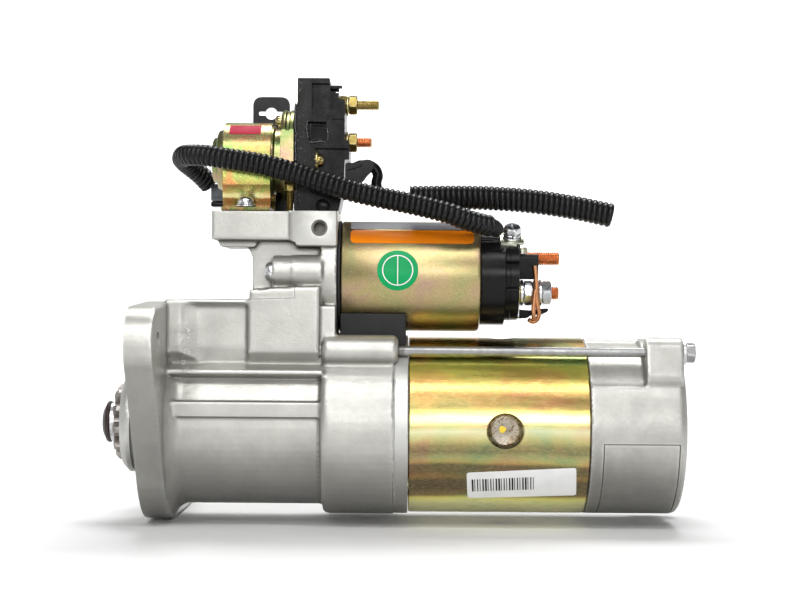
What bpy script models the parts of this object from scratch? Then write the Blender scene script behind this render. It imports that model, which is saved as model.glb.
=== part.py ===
"""Starter motor with a planetary reduction, a solenoid and a control relay.

X is the motor's axis, from the pinion to the rear, and Z points up to the relay. The origin is the
centre of the mounting flange's front face. Sizes are in millimetres, and MM turns them to metres.
"""

import math

import bmesh
import bpy
from mathutils import Vector

MM = 0.001
MERGE = 1e-6
GAP = 0.3
QUARTERS = (0, 90, 180, 270)

# Drive housing, along X from the flange's front face.
FLANGE_BACK = 15.0
NOSE_FRONT = -13.3
NOSE_R = 28.2
BARREL_R = 45.5
WIDE_FRONT = 99.5
WIDE_R = 50.6
HOUSING_BACK = 139.0
CHAMBER_R = 40.0
GEAR_CHAMBER_R = 47.4
PAD_TOP = 119.0
FLANGE_HOLES = ((-72.5, 47.5), (-10.0, 57.0), (73.0, -38.0))
FLANGE_HOLE_R = 5.5

# Centre plate, yoke and rear bracket.
PLATE_BACK = 147.2
YOKE_R = 49.6
YOKE_BORE_R = 45.5
YOKE_BACK = 245.7
BRACKET_R = 49.8
BRACKET_BACK = 298.0
RELIEF_R = 47.8
RELIEF_BACK = 276.8

# The two through bolts, at opposite sides of the motor axis.
BOLT_SPOT = (-32.3, 42.6)
BOLT_R = 2.7
BOLT_BOSS_R = 8.3
BOLT_END = 304.7

# Planetary reduction.
MODULE = 1.75
SUN_TEETH = 12
PLANET_TEETH = 18
RING_TEETH = 48
PLANET_COUNT = 3
GEAR_FRONT = 117.0
GEAR_BACK = 136.5
PLANET_PIN_R = 4.0

# Pinion and the shaft that slides with it.
PINION_TEETH = 11
PINION_TIP_R = 21.6
PINION_ROOT_R = 14.8
PINION_FRONT = -17.9
PINION_BACK = 1.6
SHAFT_R = 12.0
GROOVE = (76.9, 85.0)
COLLAR_R = 19.0

# Shift lever.
PIVOT = (76.0, 0.0, 50.0)
LOWER_PAD = (81.0, 0.0)
UPPER_PAD = (72.6, 84.0)

# Motor magnets and brushes.
POLE_FRONT = 165.5
POLE_BACK = 234.5
POLE_SCREW_X = 199.8
POLE_SCREW_R = 9.3
CORE_R = 33.0
COMMUTATOR_R = 20.0

# Solenoid.
SOLENOID_Z = 84.0
CAN_R = 31.0
CAN_FRONT = 109.2
CAN_BACK = 187.0
PLUNGER_R = 10.0
SOLENOID_BOLTS = ((-24.0, 85.6), (24.0, 82.4))
UPPER_STUD_Z = 94.6
LOWER_STUD_Z = 75.0
STUD_R = 3.95

# Control relay.
RELAY_Z = 149.2
RELAY_R = 19.8
STRAP_R = 21.4
RELAY_FLANGE_Z = 151.5
RELAY_BODY_HALF = 21.0
RELAY_STUDS_Z = (181.3, 160.0)
RELAY_STUD_R = 2.95

# Corrugated conduits: the points that each runs through.
CONDUIT_R = 6.0
CONDUIT_ROUTE = (
    (191.0, -27.5, 112.0), (185.3, -31.5, 113.0), (177.0, -34.5, 115.3), (168.9, -36.0, 118.2),
    (158.0, -36.0, 121.0), (147.2, -36.0, 123.4), (131.0, -36.0, 126.6), (114.7, -36.0, 130.2),
    (102.0, -35.5, 134.0), (89.5, -34.0, 138.0), (78.0, -32.5, 141.6), (66.6, -31.0, 144.6),
    (55.0, -29.8, 146.6), (43.7, -28.0, 148.3), (34.0, -24.5, 149.9), (25.0, -18.5, 150.6),
    (19.6, -9.5, 150.8), (18.0, 0.0, 149.2), (21.2, 8.5, 146.2), (26.2, 14.0, 142.0),
    (30.5, 18.5, 137.2),
)
FREE_CONDUIT_R = 6.9
FREE_CONDUIT_ROUTE = (
    (147.3, -12.0, 127.9), (155.0, -12.0, 128.1), (163.0, -12.0, 128.3), (171.0, -12.0, 128.4),
    (179.0, -12.0, 128.4), (187.0, -12.0, 128.3), (195.0, -12.0, 128.0), (203.0, -12.0, 127.6),
    (211.0, -12.0, 127.0), (219.0, -12.0, 126.2), (227.0, -12.0, 125.2), (235.0, -12.0, 124.0),
    (243.0, -12.0, 122.6), (250.0, -12.0, 121.2), (256.0, -12.0, 119.9), (261.0, -12.0, 118.8),
)
LEAD_R = 3.3
LEAD_ROUTE = (
    (112.0, -12.0, 143.6), (116.0, -12.0, 144.4), (120.2, -12.0, 146.0), (124.2, -12.0, 146.2),
    (127.8, -12.0, 143.9), (129.2, -12.0, 140.2), (128.4, -12.0, 136.2), (129.6, -12.0, 132.0),
    (134.4, -12.0, 129.4), (140.0, -12.0, 128.3), (146.9, -12.0, 127.9),
)

FINISHES = {
    "cast": ((0.62, 0.61, 0.58), 0.55, 0.85),
    "gold_zinc": ((0.62, 0.52, 0.22), 0.28, 0.95),
    "zinc": ((0.66, 0.68, 0.69), 0.35, 0.95),
    "steel": ((0.33, 0.33, 0.34), 0.4, 0.95),
    "dark_steel": ((0.12, 0.11, 0.1), 0.45, 0.85),
    "bearing_steel": ((0.7, 0.7, 0.72), 0.2, 1.0),
    "copper": ((0.72, 0.38, 0.2), 0.35, 1.0),
    "winding": ((0.45, 0.16, 0.07), 0.4, 0.4),
    "carbon": ((0.05, 0.05, 0.05), 0.7, 0.1),
    "plastic": ((0.02, 0.02, 0.022), 0.35, 0.0),
    "grey_plastic": ((0.4, 0.4, 0.38), 0.5, 0.0),
    "rubber": ((0.025, 0.025, 0.025), 0.65, 0.0),
}


def clear_scene():
    for item in list(bpy.data.objects):
        bpy.data.objects.remove(item, do_unlink=True)


def material(name, finish):
    colour, roughness, metallic = FINISHES[finish]
    look = bpy.data.materials.new(name)
    look.use_nodes = True
    shader = look.node_tree.nodes["Principled BSDF"]
    shader.inputs["Base Color"].default_value = (*colour, 1.0)
    shader.inputs["Roughness"].default_value = roughness
    shader.inputs["Metallic"].default_value = metallic
    return look


def added(name, data, finish, at):
    """A new object in the scene, with its own material and its origin at a point."""
    item = bpy.data.objects.new(name, data)
    item.location = Vector(at) * MM
    data.materials.append(material(name, finish))
    bpy.context.scene.collection.objects.link(item)
    return item


def solid(name, mesh, finish, at):
    """The object made from a bmesh, with its faces outward and its round faces smooth."""
    bmesh.ops.recalc_face_normals(mesh, faces=mesh.faces)
    data = bpy.data.meshes.new(name)
    mesh.to_mesh(data)
    mesh.free()
    data.shade_smooth()
    data.set_sharp_from_angle(angle=math.radians(35))
    return added(name, data, finish, at)


def turned(name, outline, finish, at=(0, 0, 0), steps=20):
    """A closed (x, radius) outline turned about the line along X through a point."""
    mesh = bmesh.new()
    points = [mesh.verts.new(Vector((x, 0, radius)) * MM) for x, radius in outline]
    edges = []
    for first, second in zip(points, points[1:] + points[:1]):
        if first.co.z > 0 or second.co.z > 0:
            edges.append(mesh.edges.new((first, second)))
    bmesh.ops.spin(
        mesh, geom=points + edges, cent=(0, 0, 0), axis=(1, 0, 0),
        angle=math.tau, steps=steps, use_merge=True,
    )
    bmesh.ops.remove_doubles(mesh, verts=mesh.verts, dist=MERGE)
    return solid(name, mesh, finish, at)


def rod(name, low, high, radius, finish, at=(0, 0, 0), steps=16):
    return turned(name, [(low, 0), (low, radius), (high, radius), (high, 0)], finish, at, steps)


def prism(name, outline, low, high, finish, along="X", at=(0, 0, 0)):
    """An outline drawn square to an axis and extruded along it."""
    order = {"X": (2, 0, 1), "Y": (0, 2, 1), "Z": (0, 1, 2)}[along]
    mesh = bmesh.new()
    ends = []
    for level in (low, high):
        corners = [(a, b, level) for a, b in outline]
        ends.append([mesh.verts.new(Vector([spot[i] for i in order]) * MM) for spot in corners])
    lower, upper = ends
    mesh.faces.new(lower)
    mesh.faces.new(upper)
    for i in range(len(lower)):
        mesh.faces.new((lower[i - 1], lower[i], upper[i], upper[i - 1]))
    return solid(name, mesh, finish, at)


def block(name, x, y, z, finish="steel"):
    """A box between the two limits given for each of X, Y and Z."""
    outline = [(y[0], z[0]), (y[1], z[0]), (y[1], z[1]), (y[0], z[1])]
    return prism(name, outline, x[0], x[1], finish)


def tube(name, route, radius, finish, sides=2, closeness=3):
    """A round cord along a smooth curve through the points of its route."""
    curve = bpy.data.curves.new(name, "CURVE")
    curve.dimensions = "3D"
    curve.bevel_depth = radius * MM
    curve.bevel_resolution = sides
    curve.use_fill_caps = True
    points = smooth_route(route, closeness)
    spline = curve.splines.new("POLY")
    spline.points.add(len(points) - 1)
    for point, spot in zip(spline.points, points):
        point.co = (*(spot * MM), 1.0)
    return added(name, curve, finish, (0, 0, 0))


def smooth_route(route, closeness):
    """Points of a Catmull-Rom curve through a route, with its ends carried on straight."""
    spots = [Vector(spot) for spot in route]
    spots = [2 * spots[0] - spots[1], *spots, 2 * spots[-1] - spots[-2]]
    points = []
    for a, b, c, d in zip(spots, spots[1:], spots[2:], spots[3:]):
        for i in range(closeness):
            t = i / closeness
            points.append(
                b + 0.5 * t * ((c - a) + t * ((2 * a - 5 * b + 4 * c - d) + t * (3 * (b - c) + d - a)))
            )
    return points + [spots[-2]]


def combined(base, joins=(), cuts=()):
    """The base with other solids joined to it and then cut from it; they stay as hidden helpers."""
    for operation, helpers in (("UNION", joins), ("DIFFERENCE", cuts)):
        for helper in helpers:
            helper.hide_render = True
            helper.display_type = "WIRE"
            boolean = base.modifiers.new(helper.name, "BOOLEAN")
            boolean.operation = operation
            boolean.object = helper
    return base


def arc(centre, radius, start, stop, steps):
    """Points along an arc, with its angles in degrees."""
    angles = [math.radians(start + (stop - start) * i / steps) for i in range(steps + 1)]
    return [
        (centre[0] + radius * math.cos(angle), centre[1] + radius * math.sin(angle))
        for angle in angles
    ]


def circle(centre, radius, steps=24):
    return arc(centre, radius, 0, 360, steps)[:-1]


def hexagon(centre, flats):
    return arc(centre, flats / math.sqrt(3), 30, 330, 5)


def hull(circles, steps=24):
    """The outline of a band stretched round circles given as (centre, radius)."""
    points = sorted({spot for centre, radius in circles for spot in circle(centre, radius, steps)})
    outline = []
    for row in (points, points[::-1]):
        chain = []
        for spot in row:
            while len(chain) > 1 and turns_right(chain[-2], chain[-1], spot):
                chain.pop()
            chain.append(spot)
        outline += chain[:-1]
    return outline


def turns_right(a, b, c):
    return (b[0] - a[0]) * (c[1] - a[1]) - (b[1] - a[1]) * (c[0] - a[0]) <= 0


def polar(radius, degrees):
    """A (y, z) spot at an angle from +Y towards +Z."""
    return (radius * math.cos(math.radians(degrees)), radius * math.sin(math.radians(degrees)))


def gear_outline(teeth, root, tip, phase=0.0, root_half=0.3, tip_half=0.12):
    """Straight-sided teeth; the half widths are parts of a pitch, and the phase is in degrees."""
    pitch = 360 / teeth
    corners = ((-root_half, root), (-tip_half, tip), (tip_half, tip), (root_half, root))
    return [
        polar(radius, phase + pitch * (i + offset))
        for i in range(teeth) for offset, radius in corners
    ]


def drive_housing():
    """The casting: nose, flange, barrel, neck and the pad that carries the relay."""
    flange = hull([
        ((0, 0), 54.5), ((-73, 46), 20.5), ((-12, 60), 9), ((12, 60), 9), ((73, -38), 18),
    ])
    base = prism("drive_housing", flange, 0, FLANGE_BACK, "cast")
    joins = [
        turned("nose_solid", [
            (NOSE_FRONT, 0), (NOSE_FRONT, 24.8), (-9.8, NOSE_R), (1, NOSE_R), (1, 0),
        ], "cast", steps=32),
        turned("barrel_solid", [
            (14, 0), (14, 53), (16.5, 49), (22, BARREL_R), (WIDE_FRONT, BARREL_R), (101, 49.4),
            (103.5, WIDE_R), (HOUSING_BACK, WIDE_R), (HOUSING_BACK, 0),
        ], "cast", steps=32),
        *side_walls(),
        *neck_and_pad(),
    ]
    for side, (y, z) in enumerate((BOLT_SPOT, opposite(BOLT_SPOT))):
        joins.append(rod(f"bolt_boss_{side}", 99.6, 141.4, BOLT_BOSS_R, "cast", (0, y, z)))
    return combined(base, joins, housing_cuts())


def opposite(spot):
    return (-spot[0], -spot[1])


def side_walls():
    """The box over the barrel, and the ribs along each side of it."""
    walls = [
        block("upper_box", (13.9, 97.7), (-39.5, 39.5), (41.6, 69.5)),
        block("waist", (13.7, 98.6), (-35.5, 35.5), (4, 48)),
        block("rear_step", (96.8, 107.1), (-36, 36), (40, 66.5)),
        block("neck_base", (59, 97.8), (-38.6, 38.6), (60, 76)),
    ]
    for side in (-1, 1):
        shelf = [(34 * side, 38), (43 * side, 32.5), (43 * side, 29.5), (20 * side, 29.5)]
        walls.append(prism(f"shelf_{side}", shelf, 13.6, 100.4, "cast"))
        low, high = sorted((38 * side, 46.4 * side))
        walls.append(block(f"rib_{side}", (13.4, 102), (low, high), (7, 14)))
    return walls


def neck_and_pad():
    """The neck over the lever, the solenoid's seat and the pad under the relay."""
    pieces = [
        block("neck", (59.4, 98.2), (-17, 17), (68, 104)),
        block("pad", (38, 82.6), (-28, 28), (103, PAD_TOP)),
        block("pad_step", (41, 60), (-22, 22), (99.6, 104)),
        block("machined_block", (82.3, 107.5), (-30, 28.4), (100, PAD_TOP + 0.3)),
        rod("solenoid_seat", 98.4, 107.3, CAN_R + 0.3, "cast", (0, 0, SOLENOID_Z), 24),
    ]
    for side, (y, z) in enumerate(SOLENOID_BOLTS):
        pieces.append(rod(f"solenoid_boss_{side}", 71.7, 98.6, 9.4, "cast", (0, y, z)))
    return pieces


def housing_cuts():
    cuts = [
        turned("housing_bore", [
            (-16, 0), (-16, 22.5), (2.7, 22.5), (2.7, 26.3), (17.5, 26.3), (17.5, CHAMBER_R),
            (104, CHAMBER_R), (104, GEAR_CHAMBER_R), (145, GEAR_CHAMBER_R), (145, 0),
        ], "cast", steps=32),
        turned("joint_clearance", [
            (HOUSING_BACK + 0.01, 44), (HOUSING_BACK + 0.01, 50.8), (144, 50.8), (144, 44),
        ], "cast", steps=32),
        block("lever_chamber", (64, 97.5), (-23, 23), (20, 61)),
        block("plunger_chamber", (63, 110), (-11, 11), (55, 96)),
        block("side_pocket", (23, 58), (-42, -37.2), (44.3, 66)),
        block("far_pocket", (23, 58), (37.2, 42), (44.3, 66)),
        prism("pin_bore", circle((PIVOT[0], PIVOT[2]), 3.1), -31, 31, "steel", "Y"),
        prism("pad_thread", circle((97.4, 110), 3.4, 16), -31, -18, "steel", "Y"),
    ]
    for i, spot in enumerate(FLANGE_HOLES):
        cuts.append(rod(f"flange_hole_{i}", -1, 16.5, FLANGE_HOLE_R, "cast", (0, *spot), 16))
    for i, spot in enumerate(SOLENOID_BOLTS):
        cuts.append(rod(f"solenoid_hole_{i}", 71, 108, 3.4, "cast", (0, *spot), 12))
    for i, spot in enumerate((BOLT_SPOT, opposite(BOLT_SPOT))):
        cuts.append(rod(f"bolt_hole_{i}", 118, 142, 3.1, "cast", (0, *spot), 12))
    return cuts


def centre_plate():
    turned("centre_plate", [
        (139.4, 13), (139.4, 50.5), (PLATE_BACK, 50.5), (PLATE_BACK, 20.3), (140.6, 20.3),
        (140.6, 13),
    ], "cast", steps=32)


def yoke():
    base = turned("yoke", [
        (147.6, YOKE_BORE_R), (147.6, YOKE_R), (YOKE_BACK, YOKE_R), (YOKE_BACK, YOKE_BORE_R),
    ], "gold_zinc", steps=40)
    holes = [radial_rod(f"yoke_hole_{turn}", 40, 55, POLE_SCREW_R + 0.4, turn) for turn in QUARTERS]
    combined(base, cuts=holes)


def radial_rod(name, low, high, radius, turn, steps=16):
    """A rod that points away from the motor axis at a pole screw, turned from +Y towards +Z."""
    spoke = rod(name, low, high, radius, "zinc", (POLE_SCREW_X, 0, 0), steps)
    spoke.rotation_mode = "ZYX"
    spoke.rotation_euler = (math.radians(turn), 0, math.radians(90))
    return spoke


def rear_bracket():
    """The rear cover, relieved along each side so that its through bolt runs clear of it."""
    base = turned("rear_bracket", [
        (246.1, 45.6), (246.1, BRACKET_R), (293.5, BRACKET_R), (296.8, 48.4), (BRACKET_BACK, 45),
        (BRACKET_BACK, 0), (292.4, 0), (292.4, 14.6), (281, 14.6), (281, 19.5), (293.2, 19.5),
        (293.2, 45.6),
    ], "cast", steps=32)
    joins = []
    cuts = []
    for i, spot in enumerate((BOLT_SPOT, opposite(BOLT_SPOT))):
        turn = 180 * i
        foot = (1.13 * spot[0], 0.7 * spot[1])
        boss = hull([(spot, BOLT_BOSS_R), (foot, 7.8)])
        relief = arc((0, 0), RELIEF_R, turn + 97, turn + 150, 8)
        relief += arc((0, 0), 56, turn + 150, turn + 97, 8)
        joins.append(prism(f"bracket_boss_{i}", boss, RELIEF_BACK, 297, "cast"))
        cuts.append(prism(f"bracket_relief_{i}", relief, 240, RELIEF_BACK, "cast"))
        cuts.append(rod(f"bracket_hole_{i}", 276, 299, 3.1, "cast", (0, *spot), 12))
    cuts.append(turned("bracket_bore", [(270, 0), (270, 19), (280.9, 19), (280.9, 0)], "cast"))
    cuts.append(turned("bracket_room", [
        (246, 0), (246, 45.6), (280.9, 45.6), (280.9, 0),
    ], "cast", steps=32))
    combined(base, joins, cuts)


def through_bolts():
    for i, spot in enumerate((BOLT_SPOT, opposite(BOLT_SPOT))):
        shank = turned(f"through_bolt_{i + 1}", [
            (119, 0), (119, BOLT_R), (297.4, BOLT_R), (297.4, 6.6), (299.4, 6.6), (299.4, 0),
        ], "zinc", (0, *spot), 12)
        head = prism(f"bolt_head_{i}", hexagon(spot, 10), 299, BOLT_END, "zinc")
        combined(shank, [head])


def bearings():
    for name, low, high, inner, outer in (
        ("front_bearing", 3.0, 17.0, SHAFT_R + GAP, 26.0),
        ("armature_front_bearing", 140.9, 147.1, 12.5, 20.0),
        ("armature_rear_bearing", 281.3, 291.9, 7.8, 14.3),
    ):
        turned(name, [(low, inner), (low, outer), (high, outer), (high, inner)], "bearing_steel")


def planetary():
    sun_r = MODULE * SUN_TEETH / 2
    planet_r = MODULE * PLANET_TEETH / 2
    ring_r = MODULE * RING_TEETH / 2
    tall = 0.9 * MODULE
    deep = 1.1 * MODULE
    sun = gear_outline(SUN_TEETH, sun_r - deep, sun_r + tall)
    planet_pitch = 360 / PLANET_TEETH
    spots = []
    for i in range(PLANET_COUNT):
        turn = 360 * i / PLANET_COUNT
        phase = turn + 180 - (0.5 - turn * SUN_TEETH / 360) * planet_pitch
        spot = polar(sun_r + planet_r, turn)
        spots.append(spot)
        teeth = gear_outline(PLANET_TEETH, planet_r - deep, planet_r + tall, phase)
        gear = prism(
            f"planet_gear_{i + 1}", teeth, GEAR_FRONT, GEAR_BACK, "steel", at=(0, *spot)
        )
        bore = rod(f"planet_bore_{i}", 116, 138, PLANET_PIN_R + GAP, "steel", (0, *spot), 12)
        combined(gear, cuts=[bore])
    ring_gear(ring_r, tall, deep, planet_pitch)
    planet_carrier(spots)
    return sun


def ring_gear(ring_r, tall, deep, planet_pitch):
    # A ring tooth stands half a pitch from the planet tooth that points away from the sun.
    planet_lead = -(180 - 0.5 * planet_pitch) / planet_pitch
    phase = -(planet_lead + 0.5) * 360 / RING_TEETH
    teeth = gear_outline(RING_TEETH, ring_r + deep, ring_r - tall, phase)
    rim = prism("ring_gear", circle((0, 0), 47.0, 32), GEAR_FRONT, GEAR_BACK + 0.5, "steel")
    space = prism("ring_space", teeth, GEAR_FRONT - 1, GEAR_BACK + 2, "steel")
    combined(rim, cuts=[space])


def planet_carrier(spots):
    disc = rod("planet_carrier", 111.5, 115.6, 34, "steel", steps=24)
    pins = [
        rod(f"planet_pin_{i}", 115, 137.6, PLANET_PIN_R, "steel", (0, *spot), 12)
        for i, spot in enumerate(spots)
    ]
    combined(disc, pins)


def clutch():
    turned("overrunning_clutch", [
        (91, 13.6), (91, 34), (93, 36), (109.2, 36), (111.2, 34), (111.2, 13.6),
    ], "steel")


def pinion_group():
    turned("pinion_shaft", [
        (-21, 0), (-21, 11), (1.9, 11), (1.9, SHAFT_R), (GROOVE[0] - 3, SHAFT_R),
        (GROOVE[0] - 3, COLLAR_R), (GROOVE[0], COLLAR_R), (GROOVE[0], 15), (GROOVE[1], 15),
        (GROOVE[1], COLLAR_R), (GROOVE[1] + 3, COLLAR_R), (GROOVE[1] + 3, 13.2), (108, 13.2),
        (108, 0),
    ], "steel")
    teeth = gear_outline(PINION_TEETH, PINION_ROOT_R, PINION_TIP_R, 90, 0.33, 0.13)
    gear = prism("pinion", teeth, PINION_FRONT, PINION_BACK, "dark_steel")
    bore = rod("pinion_bore", PINION_FRONT - 1, PINION_BACK + 1, 11.3, "steel")
    combined(gear, cuts=[bore])
    turned("pinion_stop_nut", [
        (-21.3, 0), (-21.3, 11.7), (-23.4, 11.7), (-25.4, 8), (-26.2, 3.5), (-26.2, 0),
    ], "dark_steel")


def armature(sun):
    shaft = turned("armature", [
        (137.8, 0), (137.8, 12.2), (148.5, 12.2), (148.5, 9), (155, 9), (155, 22), (159, 28),
        (166, 28), (166, CORE_R), (234, CORE_R), (234, 28), (240, 28), (245, 22), (245, 9),
        (281, 9), (281, 7.5), (291.8, 7.5), (291.8, 0),
    ], "winding")
    combined(shaft, [prism("sun_gear", sun, GEAR_FRONT, 138.4, "steel")])
    turned("commutator", [
        (252, 9.3), (252, COMMUTATOR_R), (276, COMMUTATOR_R), (276, 9.3),
    ], "copper")


def sector(inner, outer, half_angle, turn=0.0, steps=4):
    """A ring segment's outline, with its middle turned from +Y towards +Z."""
    inside = arc((0, 0), inner, turn - half_angle, turn + half_angle, steps)
    outside = arc((0, 0), outer, turn + half_angle, turn - half_angle, steps)
    return inside + outside


def pole_shoes():
    for i, turn in enumerate(QUARTERS):
        outline = (
            arc((0, 0), 34.2, turn - 36, turn + 36, 6) + arc((0, 0), 37.5, turn + 36, turn + 21, 2)
            + arc((0, 0), 45.1, turn + 21, turn - 21, 4) + arc((0, 0), 37.5, turn - 21, turn - 36, 2)
        )
        shoe = prism(f"pole_shoe_{i + 1}", outline, POLE_FRONT, POLE_BACK, "steel")
        screw = radial_rod(f"pole_screw_{i}", 43, YOKE_R - 0.2, POLE_SCREW_R, turn)
        combined(shoe, [screw])


def field_coils():
    base = turned("field_coils", [
        (237.5, 40.5), (237.5, 44.6), (242, 44.6), (242, 40.5),
    ], "copper", steps=32)
    joins = []
    cuts = []
    for turn in QUARTERS:
        coil = sector(38.2, 44.4, 40, turn)
        window = sector(37, 45.4, 22.6, turn)
        joins.append(prism(f"coil_{turn}", coil, 158, 243, "copper"))
        cuts.append(prism(f"coil_window_{turn}", window, 164.8, 235.2, "copper"))
    combined(base, joins, cuts)


def brush_gear():
    holder = turned("brush_holder", [
        (248.2, 21.6), (248.2, 44.9), (250.4, 44.9), (250.4, 21.6),
    ], "plastic", steps=24)
    walls = []
    for i, turn in enumerate(QUARTERS):
        channel = [(24, -7.5), (40, -7.5), (40, 7.5), (24, 7.5), (24, 5.5), (38, 5.5), (38, -5.5),
                   (24, -5.5)]
        wall = prism(f"brush_wall_{i}", channel, 250, 268, "plastic")
        wall.rotation_euler = (math.radians(turn + 45), 0, 0)
        walls.append(wall)
        carbon = [(20.3, -5), (36, -5), (36, 5), (20.3, 5)]
        brush = prism(f"brush_{i + 1}", carbon, 253.5, 267, "carbon")
        brush.rotation_euler = (math.radians(turn + 45), 0, 0)
    combined(holder, walls)


def shift_lever():
    """A forked lever: two long arms down to the collar, two short ones up to the plunger."""
    x, _, z = PIVOT
    base = prism("shift_lever", [
        (spot_x - x, spot_z - z)
        for spot_x, spot_z in hull([((x, z), 6.5), ((x, z - 8), 5)], 20)
    ], -22.4, 22.4, "steel", "Y", PIVOT)
    joins = []
    for side in (-1, 1):
        outer = hull([((x, z - 6), 4.5), (LOWER_PAD, 3.4)], 16)
        inner = hull([((x, z), 4), (UPPER_PAD, 2.9)], 16)
        low, high = sorted((19.4 * side, 22.5 * side))
        joins.append(prism(f"long_arm_{side}", outer, low, high, "steel", "Y"))
        low, high = sorted((15.6 * side, 19.8 * side))
        joins.append(prism(f"pad_{side}", circle(LOWER_PAD, 3.4, 16), low, high, "steel", "Y"))
        low, high = sorted((4.5 * side, 8.2 * side))
        joins.append(prism(f"short_arm_{side}", inner, low, high, "steel", "Y"))
    bore = prism("lever_bore", circle((x, z), 2.8 + GAP, 20), -24, 24, "steel", "Y")
    combined(base, joins, [bore])
    prism("lever_pin", circle((x, z), 2.8, 20), -30.6, 30.6, "steel", "Y")


def solenoid_body():
    axis = (0, 0, SOLENOID_Z)
    turned("solenoid_can", [
        (CAN_FRONT, 10.6), (CAN_FRONT, 30), (110.2, CAN_R), (CAN_BACK, CAN_R), (CAN_BACK, 28.4),
        (112.8, 28.4), (112.8, 10.6),
    ], "gold_zinc", axis, 32)
    turned("solenoid_gasket", [
        (107.7, 14), (107.7, 31.3), (108.9, 31.3), (108.9, 14),
    ], "rubber", axis, 24)
    turned("solenoid_coil", [
        (113.2, 11.2), (113.2, 27.9), (172, 27.9), (172, 3.2), (168, 3.2), (168, 11.2),
    ], "winding", axis)
    turned("plunger", [
        (66.5, 0), (66.5, 8), (68.4, 8), (68.4, 4), (76.8, 4), (76.8, PLUNGER_R),
        (150, PLUNGER_R), (150, 0),
    ], "steel", axis)
    turned("contact_disc", [
        (162.5, 0), (162.5, 2.7), (178, 2.7), (178, 14), (180.5, 14), (180.5, 0),
    ], "copper", axis)
    tube("plunger_spring", helix(150.3 + 1.1, 167.7 - 1.1, 7.5, 3.5), 0.9, "zinc", 1, 1)
    for i, (y, z) in enumerate(SOLENOID_BOLTS):
        turned(f"solenoid_bolt_{i + 1}", [
            (67, 0), (67, 3.2), (68, 5), (70.4, 5.8), (71.4, 5.8), (71.4, 3), (107, 3), (107, 0),
        ], "zinc", (0, y, z), 16)
    rubber_block()


def helix(low, high, radius, turns, steps=8):
    """A coil spring's centre line, round the solenoid's axis."""
    count = round(turns * steps)
    return [
        (
            low + (high - low) * i / count,
            radius * math.cos(math.tau * i / steps),
            SOLENOID_Z + radius * math.sin(math.tau * i / steps),
        )
        for i in range(count + 1)
    ]


def rubber_block():
    """The rubber that fills the space between the solenoid and the motor."""
    half = 23.6
    low_angle = math.degrees(math.acos(half / 51.0))
    high_angle = math.degrees(math.acos(half / 31.5))
    outline = (
        arc((0, 0), 51.0, low_angle, 180 - low_angle, 8)
        + arc((0, SOLENOID_Z), 31.5, 180 + high_angle, 360 - high_angle, 8)
    )
    prism("rubber_block", outline, 109.4, 145.8, "rubber")


def solenoid_terminals():
    cap = turned("solenoid_cap", [
        (187.3, 22), (187.3, 27.3), (200.9, 27.3), (200.9, 24.5), (208.7, 24.5), (208.7, 0),
        (196, 0), (196, 22),
    ], "plastic", (0, 0, SOLENOID_Z), 24)
    joins = [
        block("upper_boss", (208, 221), (-12, 12), (83.2, 99.4)),
        block("screw_boss", (199.4, 211.6), (-19, -5), (90, 103.6)),
    ]
    cuts = [
        rod("upper_stud_hole", 190, 222, STUD_R + GAP, "steel", (0, 0, UPPER_STUD_Z), 16),
        rod("lower_stud_hole", 190, 222, STUD_R + GAP, "steel", (0, 0, LOWER_STUD_Z), 16),
        prism("screw_hole", circle((205.5, -12), 2.6, 12), 96, 104, "steel", "Z"),
        block("plate_recess", (197.8, 213), (-30, -4.6), (103.6, 120)),
    ]
    combined(cap, joins, cuts)
    turned("battery_stud", [
        (184, 0), (184, 7), (187, 7), (187, STUD_R), (231.8, STUD_R), (232.7, 3), (232.7, 0),
    ], "copper", (0, 0, UPPER_STUD_Z), 16)
    lower = turned("motor_stud", [
        (184, 0), (184, 7), (187, 7), (187, STUD_R), (209, STUD_R), (209, 7.6), (212.6, 7.6),
        (212.6, STUD_R), (221, STUD_R), (221, 7.6), (223, 7.6), (223, STUD_R), (231.6, STUD_R),
        (232.4, 3), (232.4, 0),
    ], "copper", (0, 0, LOWER_STUD_Z), 16)
    spot = (0, LOWER_STUD_Z)
    combined(lower, [
        prism("inner_nut", hexagon(spot, 13), 212.4, 217.4, "zinc"),
        prism("outer_nut", hexagon(spot, 13), 222.8, 228, "zinc"),
    ])
    motor_lead()
    s_terminal()


def motor_lead():
    """The bare copper strap from the lower stud down to the field coils."""
    eye = turned("motor_lead", [
        (217.7, 4.4), (217.7, 7.4), (220.7, 7.4), (220.7, 4.4),
    ], "copper", (0, 0, LOWER_STUD_Z), 16)
    strip = block("lead_strip", (218, 220.4), (-7, -2.4), (58, 71), "copper")
    upper = block("lead_upper", (218, 220.4), (-7.2, -2), (79, 82), "copper")
    combined(eye, [strip, upper])


def s_terminal():
    spot = (205.5, -12)
    shank = prism("s_terminal_screw", circle(spot, 2.2, 12), 97, 109, "zinc", "Z")
    combined(shank, [
        prism("screw_washers", circle(spot, 5.4, 20), 105.6, 108.8, "zinc", "Z"),
        prism("screw_head", circle(spot, 4.6, 20), 108.6, 114.2, "zinc", "Z"),
    ])
    plate = block("s_terminal_plate", (198.4, 212.4), (-18, -6), (103.9, 105.3), "zinc")
    lug = block("plate_lug", (211.2, 212.4), (-15, -9), (104.2, 110), "zinc")
    hole = prism("plate_hole", circle(spot, 2.5, 12), 103, 106, "zinc", "Z")
    combined(plate, [lug], [hole])


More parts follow.
